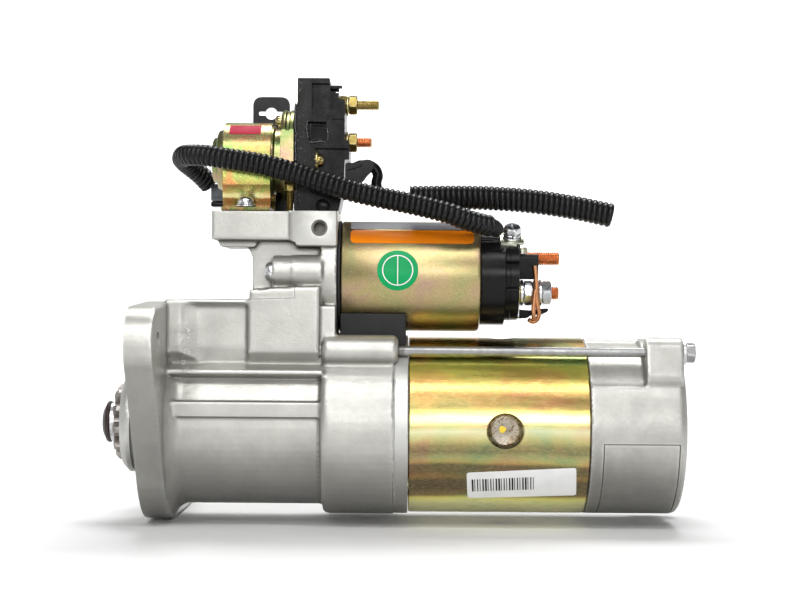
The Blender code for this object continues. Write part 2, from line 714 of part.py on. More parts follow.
def relay():
    axis = (0, 0, RELAY_Z)
    turned("relay_can", [
        (35.6, 0), (35.6, 12.4), (38.4, 13), (38.4, 16.6), (41.8, 17), (41.8, RELAY_R),
        (70, RELAY_R), (70, 18), (74.4, 18), (74.4, 9), (46, 9), (46, 0),
    ], "gold_zinc", axis, 24)
    turned("relay_plunger", [
        (52, 0), (52, 8), (74, 8), (74, 2.5), (86, 2.5), (86, 11), (88, 11), (88, 0),
    ], "steel", axis, 20)
    relay_strap()
    turned("relay_flange", [
        (74.9, 12), (74.9, 26.6), (82.2, 26.6), (82.2, 12),
    ], "gold_zinc", (0, 0, RELAY_FLANGE_Z), 28)
    relay_body()
    relay_studs()
    relay_bracket()
    block("relay_connector", (31.5, 41.4), (19.6, 33), (124, 137.4), "grey_plastic")


def relay_strap():
    """The strap round the relay's can, with the foot that stands on the pad."""
    strap = turned("relay_strap", [
        (42.4, RELAY_R + 0.3), (42.4, STRAP_R), (69.6, STRAP_R), (69.6, RELAY_R + 0.3),
    ], "gold_zinc", (0, 0, RELAY_Z), 24)
    joins = [
        block("strap_foot", (43, 69), (-26, 20.6), (PAD_TOP + 0.3, PAD_TOP + 2.6)),
        block("strap_leg_near", (43, 69), (-15, -12.6), (120, 133.4)),
        block("strap_leg_far", (43, 69), (12.6, 15), (120, 133.4)),
    ]
    combined(strap, joins)


def relay_body():
    side = [
        (82.5, 119.7), (107.6, 119.7), (110, 132), (110.8, 149), (113.2, 149), (113.2, 159.4),
        (110.8, 159.4), (110.8, 182), (104.6, 187), (102.4, 187), (102.4, 194), (84, 194),
        (84, 180), (82.5, 178),
    ]
    half = RELAY_BODY_HALF
    base = prism("relay_body", side, -half, half, "plastic", "Y")
    cuts = [
        rod("relay_room", 80, 95, 14, "steel", (0, 0, RELAY_Z), 16),
        block("near_panel", (92.2, 104), (-30, -17.6), (176.4, 191)),
        block("near_shelf", (102, 120), (-30, -12), (176.4, 189)),
        block("far_step", (80, 120), (10, 30), (183, 200)),
        block("near_pocket", (90.2, 100.4), (-25, -17), (159, 169.6)),
    ]
    for i, z in enumerate(RELAY_STUDS_Z):
        cuts.append(rod(f"relay_stud_hole_{i}", 104, 120, RELAY_STUD_R + GAP, "steel", (0, 0, z), 12))
    combined(base, cuts=cuts)


def relay_studs():
    upper_z, lower_z = RELAY_STUDS_Z
    for name, z, tip, face, washer, finish in (
        ("relay_upper_stud", upper_z, 129.5, 111.1, 6.2, "gold_zinc"),
        ("relay_lower_stud", lower_z, 125.5, 113.5, 5.4, "copper"),
    ):
        stud = turned(name, [
            (104.5, 0), (104.5, RELAY_STUD_R), (face, RELAY_STUD_R), (face, washer),
            (face + 1.6, washer), (face + 1.6, RELAY_STUD_R), (tip - 0.8, RELAY_STUD_R),
            (tip, 2.2), (tip, 0),
        ], finish, (0, 0, z), 12)
        combined(stud, [prism(f"{name}_nut", hexagon((0, z), 10), face + 1.4, face + 5, finish)])


def relay_bracket():
    """The black plate behind the relay, with a keyhole near its top."""
    outline = [(55.3, 119.4), (76.8, 119.4), (76.8, 185), (73, 189), (59, 189), (55.3, 185)]
    plate = prism("relay_bracket", outline, 27, 29, "plastic", "Y")
    combined(plate, [
        block("bracket_foot", (55.3, 76.8), (21, 28), (119.4, 121.2)),
    ], [
        prism("keyhole", circle((65.9, 179.2), 3.5, 20), 26, 30, "plastic", "Y"),
        block("keyhole_slot", (58.6, 73.2), (26, 30), (178, 180.4)),
    ])


def conduits():
    tube("control_conduit", CONDUIT_ROUTE, CONDUIT_R, "rubber", 2, 2)
    tube("conduit_sleeve", (
        (191.3, -27.3, 111.95), (193.3, -25.9, 111.6), (195.0, -24.0, 110.6), (196.2, -21.9, 109.2),
    ), 4.4, "rubber", 2, 2)
    tube("relay_lead", LEAD_ROUTE, LEAD_R, "rubber", 2, 2)
    tube("free_conduit", FREE_CONDUIT_ROUTE, FREE_CONDUIT_R, "rubber", 2, 1)


def main():
    clear_scene()
    drive_housing()
    centre_plate()
    yoke()
    rear_bracket()
    through_bolts()
    bearings()
    sun = planetary()
    armature(sun)
    clutch()
    pinion_group()
    pole_shoes()
    field_coils()
    brush_gear()
    shift_lever()
    solenoid_body()
    solenoid_terminals()
    relay()
    conduits()


main()
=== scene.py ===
"""The looks of the starter motor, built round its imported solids.

X is the motor's axis, from the pinion to the rear, Y points away from the camera and Z points up.
Sizes are in millimetres, and MM turns them to the frame's metres. Every mesh is built in place, so
an object's own coordinates are the frame's.
"""

import math

import bmesh
import bpy
import numpy as np
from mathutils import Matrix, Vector


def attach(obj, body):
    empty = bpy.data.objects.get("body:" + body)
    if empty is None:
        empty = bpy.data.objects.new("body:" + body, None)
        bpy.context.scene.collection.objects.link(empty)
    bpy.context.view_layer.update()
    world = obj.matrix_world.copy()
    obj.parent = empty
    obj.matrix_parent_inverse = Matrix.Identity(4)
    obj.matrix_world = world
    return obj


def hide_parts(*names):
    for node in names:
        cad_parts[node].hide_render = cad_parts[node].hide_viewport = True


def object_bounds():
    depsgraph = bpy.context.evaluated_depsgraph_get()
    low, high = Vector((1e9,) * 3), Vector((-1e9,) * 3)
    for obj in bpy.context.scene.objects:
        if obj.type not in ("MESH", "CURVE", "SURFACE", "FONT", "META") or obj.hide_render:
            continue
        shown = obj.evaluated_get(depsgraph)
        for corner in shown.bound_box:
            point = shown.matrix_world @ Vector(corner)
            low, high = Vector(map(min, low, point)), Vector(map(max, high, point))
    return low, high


MM = 0.001
MERGE = 1e-6
QUARTERS = (0, 90, 180, 270)

# The camera's place, its lens and its roll in degrees.
EYE = (142.2, -940.0, 70.5)
LENS = 74.2
ROLL = 0.45

# Places that the solids share.
FLANGE_HOLES = ((-72.5, 47.5), (-10.0, 57.0), (73.0, -38.0))
BOLT_SPOTS = ((-32.3, 42.6), (32.3, -42.6))
YOKE_R = 49.6
POLE_SCREW_X = 199.8
SOLENOID_Z = 84.0
SOLENOID_SCREWS = ((-24.0, 85.6), (24.0, 82.4))
CAN_R = 31.0
UPPER_STUD_Z = 94.6
LOWER_STUD_Z = 75.0
RELAY_Z = 149.2
RELAY_STUDS_Z = (181.3, 160.0)
STRAP_R = 21.4
COPPER_WIRE_R = 1.25

# Castings: the size of a remeshed face, and how many passes blend the corners.
VOXEL = 0.95
BLEND_PASSES = 2

# Angles between faces, in degrees: where shading turns sharp, and which corners a bevel rounds.
SHARP = 38
SHARP_ON_BEVELS = 50
BEVELLED_FROM = 35

# Points round a nut or a bolt head.
HEX_STEPS = 72

# Sticker film: its thickness, the longest side of its faces, and the white label's tilt in degrees.
FILM = 0.1
FILM_STEP = 1.2
WHITE_TILT = -3.5

# Corrugated conduits.
RIB_PITCH = 3.05
RIB_DEPTH = 0.95
CONDUIT_R = 6.0
FREE_CONDUIT_R = 6.9
CONDUIT_ROUTE = (
    (191.0, -27.5, 112.0), (185.3, -31.5, 113.0), (177.0, -34.5, 115.3), (168.9, -36.0, 118.2),
    (158.0, -36.0, 121.0), (147.2, -36.0, 123.4), (131.0, -36.0, 126.6), (114.7, -36.0, 130.2),
    (102.0, -35.5, 134.0), (89.5, -34.0, 138.0), (78.0, -32.5, 141.6), (66.6, -31.0, 144.6),
    (55.0, -29.8, 146.6), (43.7, -28.0, 148.3), (34.0, -24.5, 149.9), (25.0, -18.5, 150.6),
    (19.6, -9.5, 150.8), (18.0, 0.0, 149.2), (21.2, 8.5, 146.2), (26.2, 14.0, 142.0),
    (30.5, 18.5, 137.2),
)
SLEEVE_ROUTE = (
    (191.3, -27.3, 111.95), (193.3, -25.9, 111.6), (195.0, -24.0, 110.6), (196.2, -21.9, 109.2),
)
FREE_CONDUIT_ROUTE = (
    (147.3, -12.0, 127.9), (155.0, -12.0, 128.1), (163.0, -12.0, 128.3), (171.0, -12.0, 128.4),
    (179.0, -12.0, 128.4), (187.0, -12.0, 128.3), (195.0, -12.0, 128.0), (203.0, -12.0, 127.6),
    (211.0, -12.0, 127.0), (219.0, -12.0, 126.2), (227.0, -12.0, 125.2), (235.0, -12.0, 124.0),
    (243.0, -12.0, 122.6), (250.0, -12.0, 121.2), (256.0, -12.0, 119.9), (261.0, -12.0, 118.8),
)
LEAD_ROUTE = (
    (112.0, -12.0, 143.6), (116.0, -12.0, 144.4), (120.2, -12.0, 146.0), (124.2, -12.0, 146.2),
    (127.8, -12.0, 143.9), (129.2, -12.0, 140.2), (128.4, -12.0, 136.2), (129.6, -12.0, 132.0),
    (134.4, -12.0, 129.4), (140.0, -12.0, 128.3), (146.9, -12.0, 127.9),
)


# ---------------------------------------------------------------- shapes


def linked(name, data):
    item = bpy.data.objects.new(name, data)
    bpy.context.scene.collection.objects.link(item)
    return item


def solid(name, points, faces, sharp=SHARP):
    """An object from points in millimetres, with its faces outward and its round faces smooth."""
    data = bpy.data.meshes.new(name)
    data.from_pydata((np.asarray(points, float) * MM).tolist(), [], faces)
    mesh = bmesh.new()
    mesh.from_mesh(data)
    bmesh.ops.remove_doubles(mesh, verts=mesh.verts, dist=MERGE)
    bmesh.ops.recalc_face_normals(mesh, faces=mesh.faces)
    mesh.to_mesh(data)
    mesh.free()
    data.shade_smooth()
    data.set_sharp_from_angle(angle=math.radians(sharp))
    return linked(name, data)


def skin(name, rings, loop=False, sharp=SHARP):
    """A closed surface through rings of points, with flat ends or, if it loops, none."""
    rings = np.asarray(rings, float)
    count, around = rings.shape[:2]
    index = np.arange(count * around).reshape(count, around)
    right = np.roll(index, -1, axis=1)
    if loop:
        after, after_right = np.roll(index, -1, axis=0), np.roll(right, -1, axis=0)
        quads = np.stack([index, right, after_right, after], axis=2).reshape(-1, 4).tolist()
    else:
        sides = np.stack([index[:-1], right[:-1], right[1:], index[1:]], axis=2)
        quads = sides.reshape(-1, 4).tolist() + [index[0][::-1].tolist(), index[-1].tolist()]
    return solid(name, rings.reshape(-1, 3), quads, sharp)


def angles_round(steps):
    return np.linspace(0, math.tau, steps, endpoint=False)


def ring(place, radii, at, steps, along="X"):
    """Points round a line along an axis: one radius, or one for each point, about a spot."""
    angles = angles_round(steps)
    u, v = at[0] + radii * np.cos(angles), at[1] + radii * np.sin(angles)
    level = np.full(steps, place, float)
    return np.stack({"X": (level, u, v), "Y": (u, level, v), "Z": (u, v, level)}[along], axis=1)


def turned(name, outline, at=(0, 0), steps=72):
    """A closed (x, radius) outline turned about the line along X through a (y, z) spot."""
    rings = [ring(x, radius, at, steps) for x, radius in outline]
    return skin(name, rings, loop=outline[0][1] > 0 and outline[-1][1] > 0)


def rod_up(name, spot, outline):
    """A solid through (z, radius) rings round an upright line, with flat ends."""
    return skin(name, [ring(z, radius, spot, 48, "Z") for z, radius in outline])


def rod_across(name, spot, outline):
    """A solid through (y, radius) rings round a line along Y, with flat ends."""
    return skin(name, [ring(y, radius, spot, 40, "Y") for y, radius in outline])


def rod(name, low, high, radius, at=(0, 0), edge=0.0, steps=48):
    """A round bar along X, with its end corners cut off by edge."""
    outline = [(low, 0), (low, radius - edge), (low + edge, radius)]
    outline += [(high - edge, radius), (high, radius - edge), (high, 0)]
    return turned(name, outline, at, steps)


def prism(name, outline, low, high, along="X", edge=0.0):
    """An outline drawn square to an axis and extruded along it, with its corners rounded."""
    order = {"X": (2, 0, 1), "Y": (0, 2, 1), "Z": (0, 1, 2)}[along]
    rings = [[[(a, b, level)[i] for i in order] for a, b in outline] for level in (low, high)]
    item = skin(name, rings)
    if edge:
        softened(item, edge)
    return item


def block(name, x, y, z, edge=0.0):
    """A box between the two limits given for each of X, Y and Z."""
    outline = [(y[0], z[0]), (y[1], z[0]), (y[1], z[1]), (y[0], z[1])]
    return prism(name, outline, x[0], x[1], "X", edge)


def softened(item, width):
    """Rounds the sharp corners of an object and shades its flat faces flat."""
    bevel = item.modifiers.new("corners", "BEVEL")
    bevel.width = width * MM
    bevel.segments = 2
    bevel.limit_method = "ANGLE"
    bevel.angle_limit = math.radians(BEVELLED_FROM)
    settled(item)
    item.data.shade_smooth()
    item.data.set_sharp_from_angle(angle=math.radians(SHARP_ON_BEVELS))
    flat = item.modifiers.new("flat_faces", "WEIGHTED_NORMAL")
    flat.keep_sharp = True
    return settled(item)


def settled(item):
    """Makes what an object's modifiers show its own mesh."""
    graph = bpy.context.evaluated_depsgraph_get()
    data = bpy.data.meshes.new_from_object(item.evaluated_get(graph))
    item.modifiers.clear()
    item.data = data
    return item


def combined(base, joins, cuts=(), solver="EXACT", keep=(), sharp=SHARP):
    """The base with other solids joined to it, cut from it or kept only where they overlap it."""
    helpers = [("UNION", item) for item in joins]
    helpers += [("DIFFERENCE", item) for item in cuts]
    helpers += [("INTERSECT", item) for item in keep]
    for operation, helper in helpers:
        boolean = base.modifiers.new(helper.name, "BOOLEAN")
        boolean.operation = operation
        boolean.object = helper
        boolean.solver = solver
    settled(base)
    for _, helper in helpers:
        bpy.data.objects.remove(helper)
    if "custom_normal" in base.data.attributes:
        base.data.attributes.remove(base.data.attributes["custom_normal"])
    base.data.shade_smooth()
    base.data.set_sharp_from_angle(angle=math.radians(sharp))
    return base


def cast(base):
    """Remeshes a solid so that its corners blend as they do in a sand casting."""
    remesh = base.modifiers.new("remesh", "REMESH")
    remesh.mode = "VOXEL"
    remesh.voxel_size = VOXEL * MM
    blend = base.modifiers.new("blend", "SMOOTH")
    blend.factor = 0.5
    blend.iterations = BLEND_PASSES
    settled(base)
    base.data.shade_smooth()
    return base


def joined(name, items):
    """Several separate solids as one object."""
    mesh = bmesh.new()
    for item in items:
        mesh.from_mesh(item.data)
        bpy.data.objects.remove(item)
    data = bpy.data.meshes.new(name)
    mesh.to_mesh(data)
    mesh.free()
    data.shade_smooth()
    data.set_sharp_from_angle(angle=math.radians(SHARP))
    return linked(name, data)


def arc(centre, radius, start, stop, steps):
    """Points along an arc, with its angles in degrees."""
    angles = [math.radians(start + (stop - start) * i / steps) for i in range(steps + 1)]
    return [
        (centre[0] + radius * math.cos(angle), centre[1] + radius * math.sin(angle))
        for angle in angles
    ]


def circle(centre, radius, steps=48):
    return arc(centre, radius, 0, 360, steps)[:-1]


def sector(inner, outer, start, stop, steps):
    """The outline of a part of a ring round the motor axis, between two angles."""
    return arc((0, 0), inner, start, stop, steps) + arc((0, 0), outer, stop, start, steps)


def polar(radius, degrees):
    """A (y, z) spot at an angle from +Y towards +Z."""
    return (radius * math.cos(math.radians(degrees)), radius * math.sin(math.radians(degrees)))


def hull(circles, steps=48):
    """The outline of a band stretched round circles given as (centre, radius)."""
    points = sorted({spot for centre, radius in circles for spot in circle(centre, radius, steps)})
    outline = []
    for row in (points, points[::-1]):
        chain = []
        for spot in row:
            while len(chain) > 1 and turns_right(chain[-2], chain[-1], spot):
                chain.pop()
            chain.append(spot)
        outline += chain[:-1]
    return outline


def turns_right(a, b, c):
    return (b[0] - a[0]) * (c[1] - a[1]) - (b[1] - a[1]) * (c[0] - a[0]) <= 0


def rounded(outline, radius, steps=3):
    """An outline whose corners are turned to curves that start a radius from each corner."""
    points = []
    for before, corner, after in zip(outline[-1:] + outline, outline, outline[1:] + outline[:1]):
        corner = Vector(corner)
        before = Vector(before) - corner
        after = Vector(after) - corner
        start = corner + before.normalized() * min(radius, 0.45 * before.length)
        stop = corner + after.normalized() * min(radius, 0.45 * after.length)
        for j in range(steps + 1):
            t = j / steps
            points.append(tuple((1 - t) ** 2 * start + 2 * t * (1 - t) * corner + t * t * stop))
    return points


def rectangle(u, v, radius=0.0, steps=4):
    """A rectangle's outline between two limits each way, with round corners."""
    corners = [(u[0], v[0]), (u[1], v[0]), (u[1], v[1]), (u[0], v[1])]
    return rounded(corners, radius, steps) if radius else corners


# ---------------------------------------------------------------- threads, nuts and tubes


def thread(name, low, high, radius, pitch, at):
    """A threaded bar along X, with its far end chamfered."""
    depth = 0.55 * pitch
    around = 40
    rows = max(8, round((high - low) / pitch * 8))
    rings = []
    for x in np.linspace(low, high, rows + 1):
        wave = 0.5 - 0.5 * np.cos(math.tau * x / pitch - angles_round(around))
        radii = np.minimum(radius - depth * wave ** 0.8, radius - 1.3 * depth + (high - x))
        rings.append(ring(x, radii, at, around))
    return skin(name, rings, sharp=70)


def hexagon(flats, turn):
    """The radii of a hexagon at each of its ring's points, from its width across the flats."""
    corner = (np.degrees(angles_round(HEX_STEPS)) - turn) % 60 - 30
    return flats / 2 / np.cos(np.radians(corner))


def nut(name, low, high, flats, at, bore=0.0, turn=0.0):
    """A hexagon nut or bolt head along X, with both its ends chamfered to a circle."""
    steps = (0.0, 0.25, 0.5, 0.9, 1.3)
    places = [low, *(low + step for step in steps), *(high - step for step in steps[::-1]), high]
    limits = [0.96 * flats / 2 + 1.4 * step for step in (*steps, *steps[::-1])]
    radii = [bore, *(np.minimum(hexagon(flats, turn), limit) for limit in limits), bore]
    rings = [ring(place, radius, at, HEX_STEPS) for place, radius in zip(places, radii)]
    return skin(name, rings, loop=bore > 0, sharp=28)


def hex_up(name, spot, low, high, flats):
    """An upright hexagon head with a chamfered top."""
    rings = [
        ring(z, np.minimum(hexagon(flats, -8), limit), spot, HEX_STEPS, "Z")
        for z, limit in (
            (low, flats), (high - 1.2, flats), (high - 0.8, flats * 0.555),
            (high - 0.3, flats * 0.5), (high, flats * 0.44),
        )
    ]
    return skin(name, rings, sharp=28)


def washer(name, low, high, inner, outer, at, edge=0.25):
    """A flat ring along X with its outer corners rounded."""
    return turned(name, [
        (low, inner), (low, outer - edge), (low + edge, outer), (high - edge, outer),
        (high, outer - edge), (high, inner),
    ], at, 56)


def smooth_route(route, step):
    """Evenly spaced points of a Catmull-Rom curve through a route."""
    spots = [Vector(spot) for spot in route]
    spots = [2 * spots[0] - spots[1], *spots, 2 * spots[-1] - spots[-2]]
    fine = []
    for a, b, c, d in zip(spots, spots[1:], spots[2:], spots[3:]):
        for i in range(12):
            t = i / 12
            bend = (2 * a - 5 * b + 4 * c - d) + t * (3 * (b - c) + d - a)
            fine.append(b + 0.5 * t * ((c - a) + t * bend))
    fine = np.array([tuple(spot) for spot in fine + [spots[-2]]])
    along = np.concatenate([[0], np.cumsum(np.linalg.norm(np.diff(fine, axis=0), axis=1))])
    count = max(2, round(along[-1] / step))
    at = np.linspace(0, along[-1], count + 1)
    return np.stack([np.interp(at, along, fine[:, k]) for k in range(3)], axis=1), at


def frames_along(points):
    """Two directions square to the line at each of its points, which turn as little as they can."""
    ahead = np.gradient(points, axis=0)
    ahead /= np.linalg.norm(ahead, axis=1)[:, None]
    side = np.cross(ahead[0], (0, 0, 1.0))
    sides = []
    for direction in ahead:
        side = side - (side @ direction) * direction
        side = side / np.linalg.norm(side)
        sides.append(side)
    sides = np.array(sides)
    return sides, np.cross(sides, ahead)


def tube(name, route, profile, step, around, slit=None, bore=0.0, bore_depth=0.0):
    """A tube along a route whose radius at each distance is profile(distance, whole length).

    It can have a slit along it at an angle in degrees, and a bore in its far end.
    """
    points, at = smooth_route(route, step)
    sides, ups = frames_along(points)
    angles = angles_round(around)
    ahead = (points[-1] - points[-2]) / np.linalg.norm(points[-1] - points[-2])
    rings = []
    for i, centre in enumerate(points):
        radii = np.full(around, profile(at[i], at[-1]))
        if slit is not None:
            away = np.abs((np.degrees(angles) - slit + 180) % 360 - 180)
            radii = radii - 0.5 * np.clip(1 - away / 11, 0, 1)
        rings.append(centre + np.outer(radii * np.cos(angles), sides[i])
                     + np.outer(radii * np.sin(angles), ups[i]))
    if bore:
        for depth in (0.0, bore_depth / 2, bore_depth):
            rings.append(points[-1] - depth * ahead + bore * (
                np.outer(np.cos(angles), sides[-1]) + np.outer(np.sin(angles), ups[-1])))
    return skin(name, rings, sharp=60), points


def ribbed(radius):
    """The profile of a corrugated conduit: round ribs with narrow grooves between them."""
    def profile(distance, _):
        rise = abs(math.cos(math.pi * distance / RIB_PITCH))
        return radius - RIB_DEPTH * (1 - rise ** 0.7)
    return profile


# ---------------------------------------------------------------- stickers


def sticker(name, outline, x, angle, radius, lift, at=(0, 0), hole=None):
    """A thin sheet round a cylinder along X. Its outline is flat, as (u, v) from its middle."""
    outline = dense(outline, FILM_STEP)
    middle = outline.mean(axis=0)
    inner = dense(hole, FILM_STEP) if hole else middle + (outline - middle) * 0.001
    rings = []
    for height in (lift, lift + FILM):
        layers = [inner + (outline - inner) * share for share in np.linspace(0, 1, 12)]
        layers = layers if height == lift else layers[::-1]
        for layer in layers:
            turn = math.radians(angle) + layer[:, 1] / radius
            rings.append(np.stack([
                x + layer[:, 0], at[0] + (radius + height) * np.cos(turn),
                at[1] + (radius + height) * np.sin(turn),
            ], axis=1))
    return skin(name, rings, loop=True, sharp=50)


def dense(outline, step):
    """An outline with points added, so that no two are further apart than a step."""
    points = []
    for a, b in zip(outline, outline[1:] + outline[:1]):
        count = max(1, math.ceil(math.dist(a, b) / step))
        points += [[a[k] + (b[k] - a[k]) * i / count for k in (0, 1)] for i in range(count)]
    return np.array(points)


# ---------------------------------------------------------------- materials


class Paint:
    """A node material and the short calls that build it."""

    def __init__(self, name, colour, roughness, metallic):
        self.look = bpy.data.materials.new(name)
        self.look.use_nodes = True
        self.tree = self.look.node_tree
        self.shader = self.tree.nodes["Principled BSDF"]
        self.shader.inputs["Base Color"].default_value = (*colour, 1)
        self.shader.inputs["Roughness"].default_value = roughness
        self.shader.inputs["Metallic"].default_value = metallic
        self.place = self.tree.nodes.new("ShaderNodeTexCoord").outputs["Object"]

    def link(self, source, target):
        self.tree.links.new(source, target)

    def stretched(self, scale):
        """The object's coordinates, scaled differently along X, Y and Z."""
        node = self.tree.nodes.new("ShaderNodeMapping")
        node.inputs["Scale"].default_value = scale
        self.link(self.place, node.inputs["Vector"])
        return node.outputs["Vector"]

    def noise(self, size, detail=3.0, rough=0.55, at=None, distortion=0.0):
        """Noise whose features are about size millimetres across."""
        node = self.tree.nodes.new("ShaderNodeTexNoise")
        node.inputs["Scale"].default_value = 1 / (size * MM)
        node.inputs["Detail"].default_value = detail
        node.inputs["Roughness"].default_value = rough
        node.inputs["Distortion"].default_value = distortion
        self.link(at or self.place, node.inputs["Vector"])
        return node.outputs["Fac"]

    def cells(self, size):
        """The distance to the middle of cells that are about size millimetres across."""
        node = self.tree.nodes.new("ShaderNodeTexVoronoi")
        node.inputs["Scale"].default_value = 1 / (size * MM)
        self.link(self.place, node.inputs["Vector"])
        return node.outputs["Distance"]

    def math(self, operation, first, second=0.0):
        node = self.tree.nodes.new("ShaderNodeMath")
        node.operation = operation
        for slot, value in zip(node.inputs, (first, second)):
            if isinstance(value, (int, float)):
                slot.default_value = value
            else:
                self.link(value, slot)
        return node.outputs["Value"]

    def spread(self, value, low, high, to_low=0.0, to_high=1.0):
        """A value mapped from one range to another, and held inside it."""
        node = self.tree.nodes.new("ShaderNodeMapRange")
        self.link(value, node.inputs["Value"])
        for key, number in (
            ("From Min", low), ("From Max", high), ("To Min", to_low), ("To Max", to_high),
        ):
            node.inputs[key].default_value = number
        return node.outputs["Result"]

    def ramp(self, value, stops):
        """Colours along a value, from (place, colour) stops."""
        node = self.tree.nodes.new("ShaderNodeValToRGB")
        ramp = node.color_ramp
        while len(ramp.elements) < len(stops):
            ramp.elements.new(0.5)
        for element, (place, colour) in zip(ramp.elements, stops):
            element.position = place
            element.color = (*colour, 1)
        self.link(value, node.inputs["Fac"])
        return node.outputs["Color"]

    def times(self, first, second):
        return self.math("MULTIPLY", first, second)

    def mix(self, share, first, second, blend="MIX"):
        """Two colours mixed by a share. The node's colour sockets are its seventh and eighth."""
        node = self.tree.nodes.new("ShaderNodeMix")
        node.data_type = "RGBA"
        node.blend_type = blend
        node.clamp_result = True
        for key, value in ((0, share), (6, first), (7, second)):
            if isinstance(value, (int, float)):
                node.inputs[key].default_value = value
            elif isinstance(value, tuple):
                node.inputs[key].default_value = (*value, 1)
            else:
                self.link(value, node.inputs[key])
        return node.outputs[2]

    def axis(self, name):
        node = self.tree.nodes.new("ShaderNodeSeparateXYZ")
        self.link(self.place, node.inputs["Vector"])
        return node.outputs[name]

    def edges(self, low=0.5, high=0.56):
        """1 along corners that stick out, and 0 on flat faces."""
        node = self.tree.nodes.new("ShaderNodeNewGeometry")
        return self.spread(node.outputs["Pointiness"], low, high)

    def creases(self):
        """1 along corners that go in, and 0 on flat faces; it masks painted shade in creases."""
        node = self.tree.nodes.new("ShaderNodeNewGeometry")
        return self.spread(node.outputs["Pointiness"], 0.44, 0.495, 1, 0)

    def underside(self):
        """1 on faces that point down, and 0 on those whose normal is level or points up; it masks
        painted shade on undersides.
        """
        geometry = self.tree.nodes.new("ShaderNodeNewGeometry")
        node = self.tree.nodes.new("ShaderNodeSeparateXYZ")
        self.link(geometry.outputs["Normal"], node.inputs["Vector"])
        return self.spread(node.outputs["Z"], -0.75, -0.2, 1, 0)

    def colour(self, source):
        self.link(source, self.shader.inputs["Base Color"])

    def gloss(self, value, low, high):
        """Roughness that follows a value between two amounts."""
        self.link(self.spread(value, 0.3, 0.7, low, high), self.shader.inputs["Roughness"])

    def bump(self, *layers):
        """Relief from (height, depth in millimetres) layers."""
        normal = None
        for height, depth in layers:
            node = self.tree.nodes.new("ShaderNodeBump")
            node.inputs["Strength"].default_value = 1.0
            node.inputs["Distance"].default_value = depth * MM
            self.link(height, node.inputs["Height"])
            if normal:
                self.link(normal, node.inputs["Normal"])
            normal = node.outputs["Normal"]
        self.link(normal, self.shader.inputs["Normal"])


# Colours that several materials share.
# UNDERSIDE_SHADE is painted shade for faces that point down.
UNDERSIDE_SHADE = (0.17, 0.165, 0.15)
WORN_CAST = (0.7, 0.7, 0.68)
PIT = (0.22, 0.21, 0.19)
# CREASE_SHADE is painted shade for corners that go in.
CREASE_SHADE = (0.08, 0.075, 0.06)
BLACK = (0.003, 0.003, 0.0033)


def cast_skin(paint, tints, grain_tint, stain_size, pit_size, pit_edge):
    """As-cast metal's colour: stains, grain, bright corners, pits, and painted shade in the
    creases.
    """
    grain = paint.noise(0.55, 2, 0.6)
    lumps = paint.noise(2.4, 4, 0.6)
    stain = paint.noise(stain_size, 4, 0.6)
    pits = paint.spread(paint.cells(pit_size), 0.0, pit_edge, 1, 0)
    base = paint.mix(paint.spread(stain, 0.35, 0.65), *tints)
    base = paint.mix(paint.spread(grain, 0.35, 0.75, 0, 0.35), base, grain_tint)
    base = paint.mix(paint.times(paint.edges(), 0.6), base, WORN_CAST)
    base = paint.mix(paint.times(pits, 0.35), base, PIT)
    # Painted shade: corners that go in are darkened towards CREASE_SHADE.
    return paint.mix(paint.times(paint.creases(), 0.8), base, CREASE_SHADE), grain, lumps


def cast_aluminium(name):
    """Sand-cast aluminium after shot blasting: fine grain, soft stains, bright worn corners."""
    tint = (0.44, 0.435, 0.405)
    paint = Paint(name, tint, 0.5, 0.8)
    darker, lighter = (tuple(value * scale for value in tint) for scale in (0.8, 1.2))
    base, grain, lumps = cast_skin(paint, (darker, lighter), darker, 28, 3.1, 0.09)
    # Painted shade: faces that point down are darkened towards UNDERSIDE_SHADE.
    paint.colour(paint.mix(paint.times(paint.underside(), 0.72), base, UNDERSIDE_SHADE))
    paint.gloss(lumps, 0.36, 0.48)
    paint.bump((lumps, 0.10), (grain, 0.07))
    return paint.look


def coarse_cast(name):
    """The drive casting: as cast aluminium, with a rough skin where the mould's corners were, whose
    pale specks are painted glints.
    """
    paint = Paint(name, (0.6, 0.595, 0.57), 0.5, 0.8)
    along, height = paint.axis("X"), paint.axis("Z")
    crust = paint.noise(0.95, 3, 0.65)
    band = paint.times(paint.spread(along, 0.0165, 0.0215), paint.spread(along, 0.027, 0.036, 1, 0))
    band = paint.times(band, paint.spread(height, 0.008, 0.016))
    band = paint.times(band, paint.spread(height, 0.054, 0.062, 1, 0))
    band = paint.times(band, paint.spread(paint.noise(14), 0.38, 0.55))
    tints = ((0.43, 0.425, 0.395), (0.56, 0.555, 0.515))
    base, grain, lumps = cast_skin(paint, tints, (0.42, 0.415, 0.385), 30, 3.3, 0.08)
    rough = paint.times(crust, band)
    # Painted glints: the rough skin's high spots turn pale; its relief comes from the bump below.
    base = paint.mix(paint.spread(rough, 0.50, 0.62, 0, 0.8), base, (0.9, 0.9, 0.87))
    # Painted shade: faces that point down are darkened towards UNDERSIDE_SHADE.
    paint.colour(paint.mix(paint.times(paint.underside(), 0.72), base, UNDERSIDE_SHADE))
    paint.gloss(lumps, 0.34, 0.46)
    paint.bump((lumps, 0.10), (grain, 0.07), (rough, 0.7))
    return paint.look


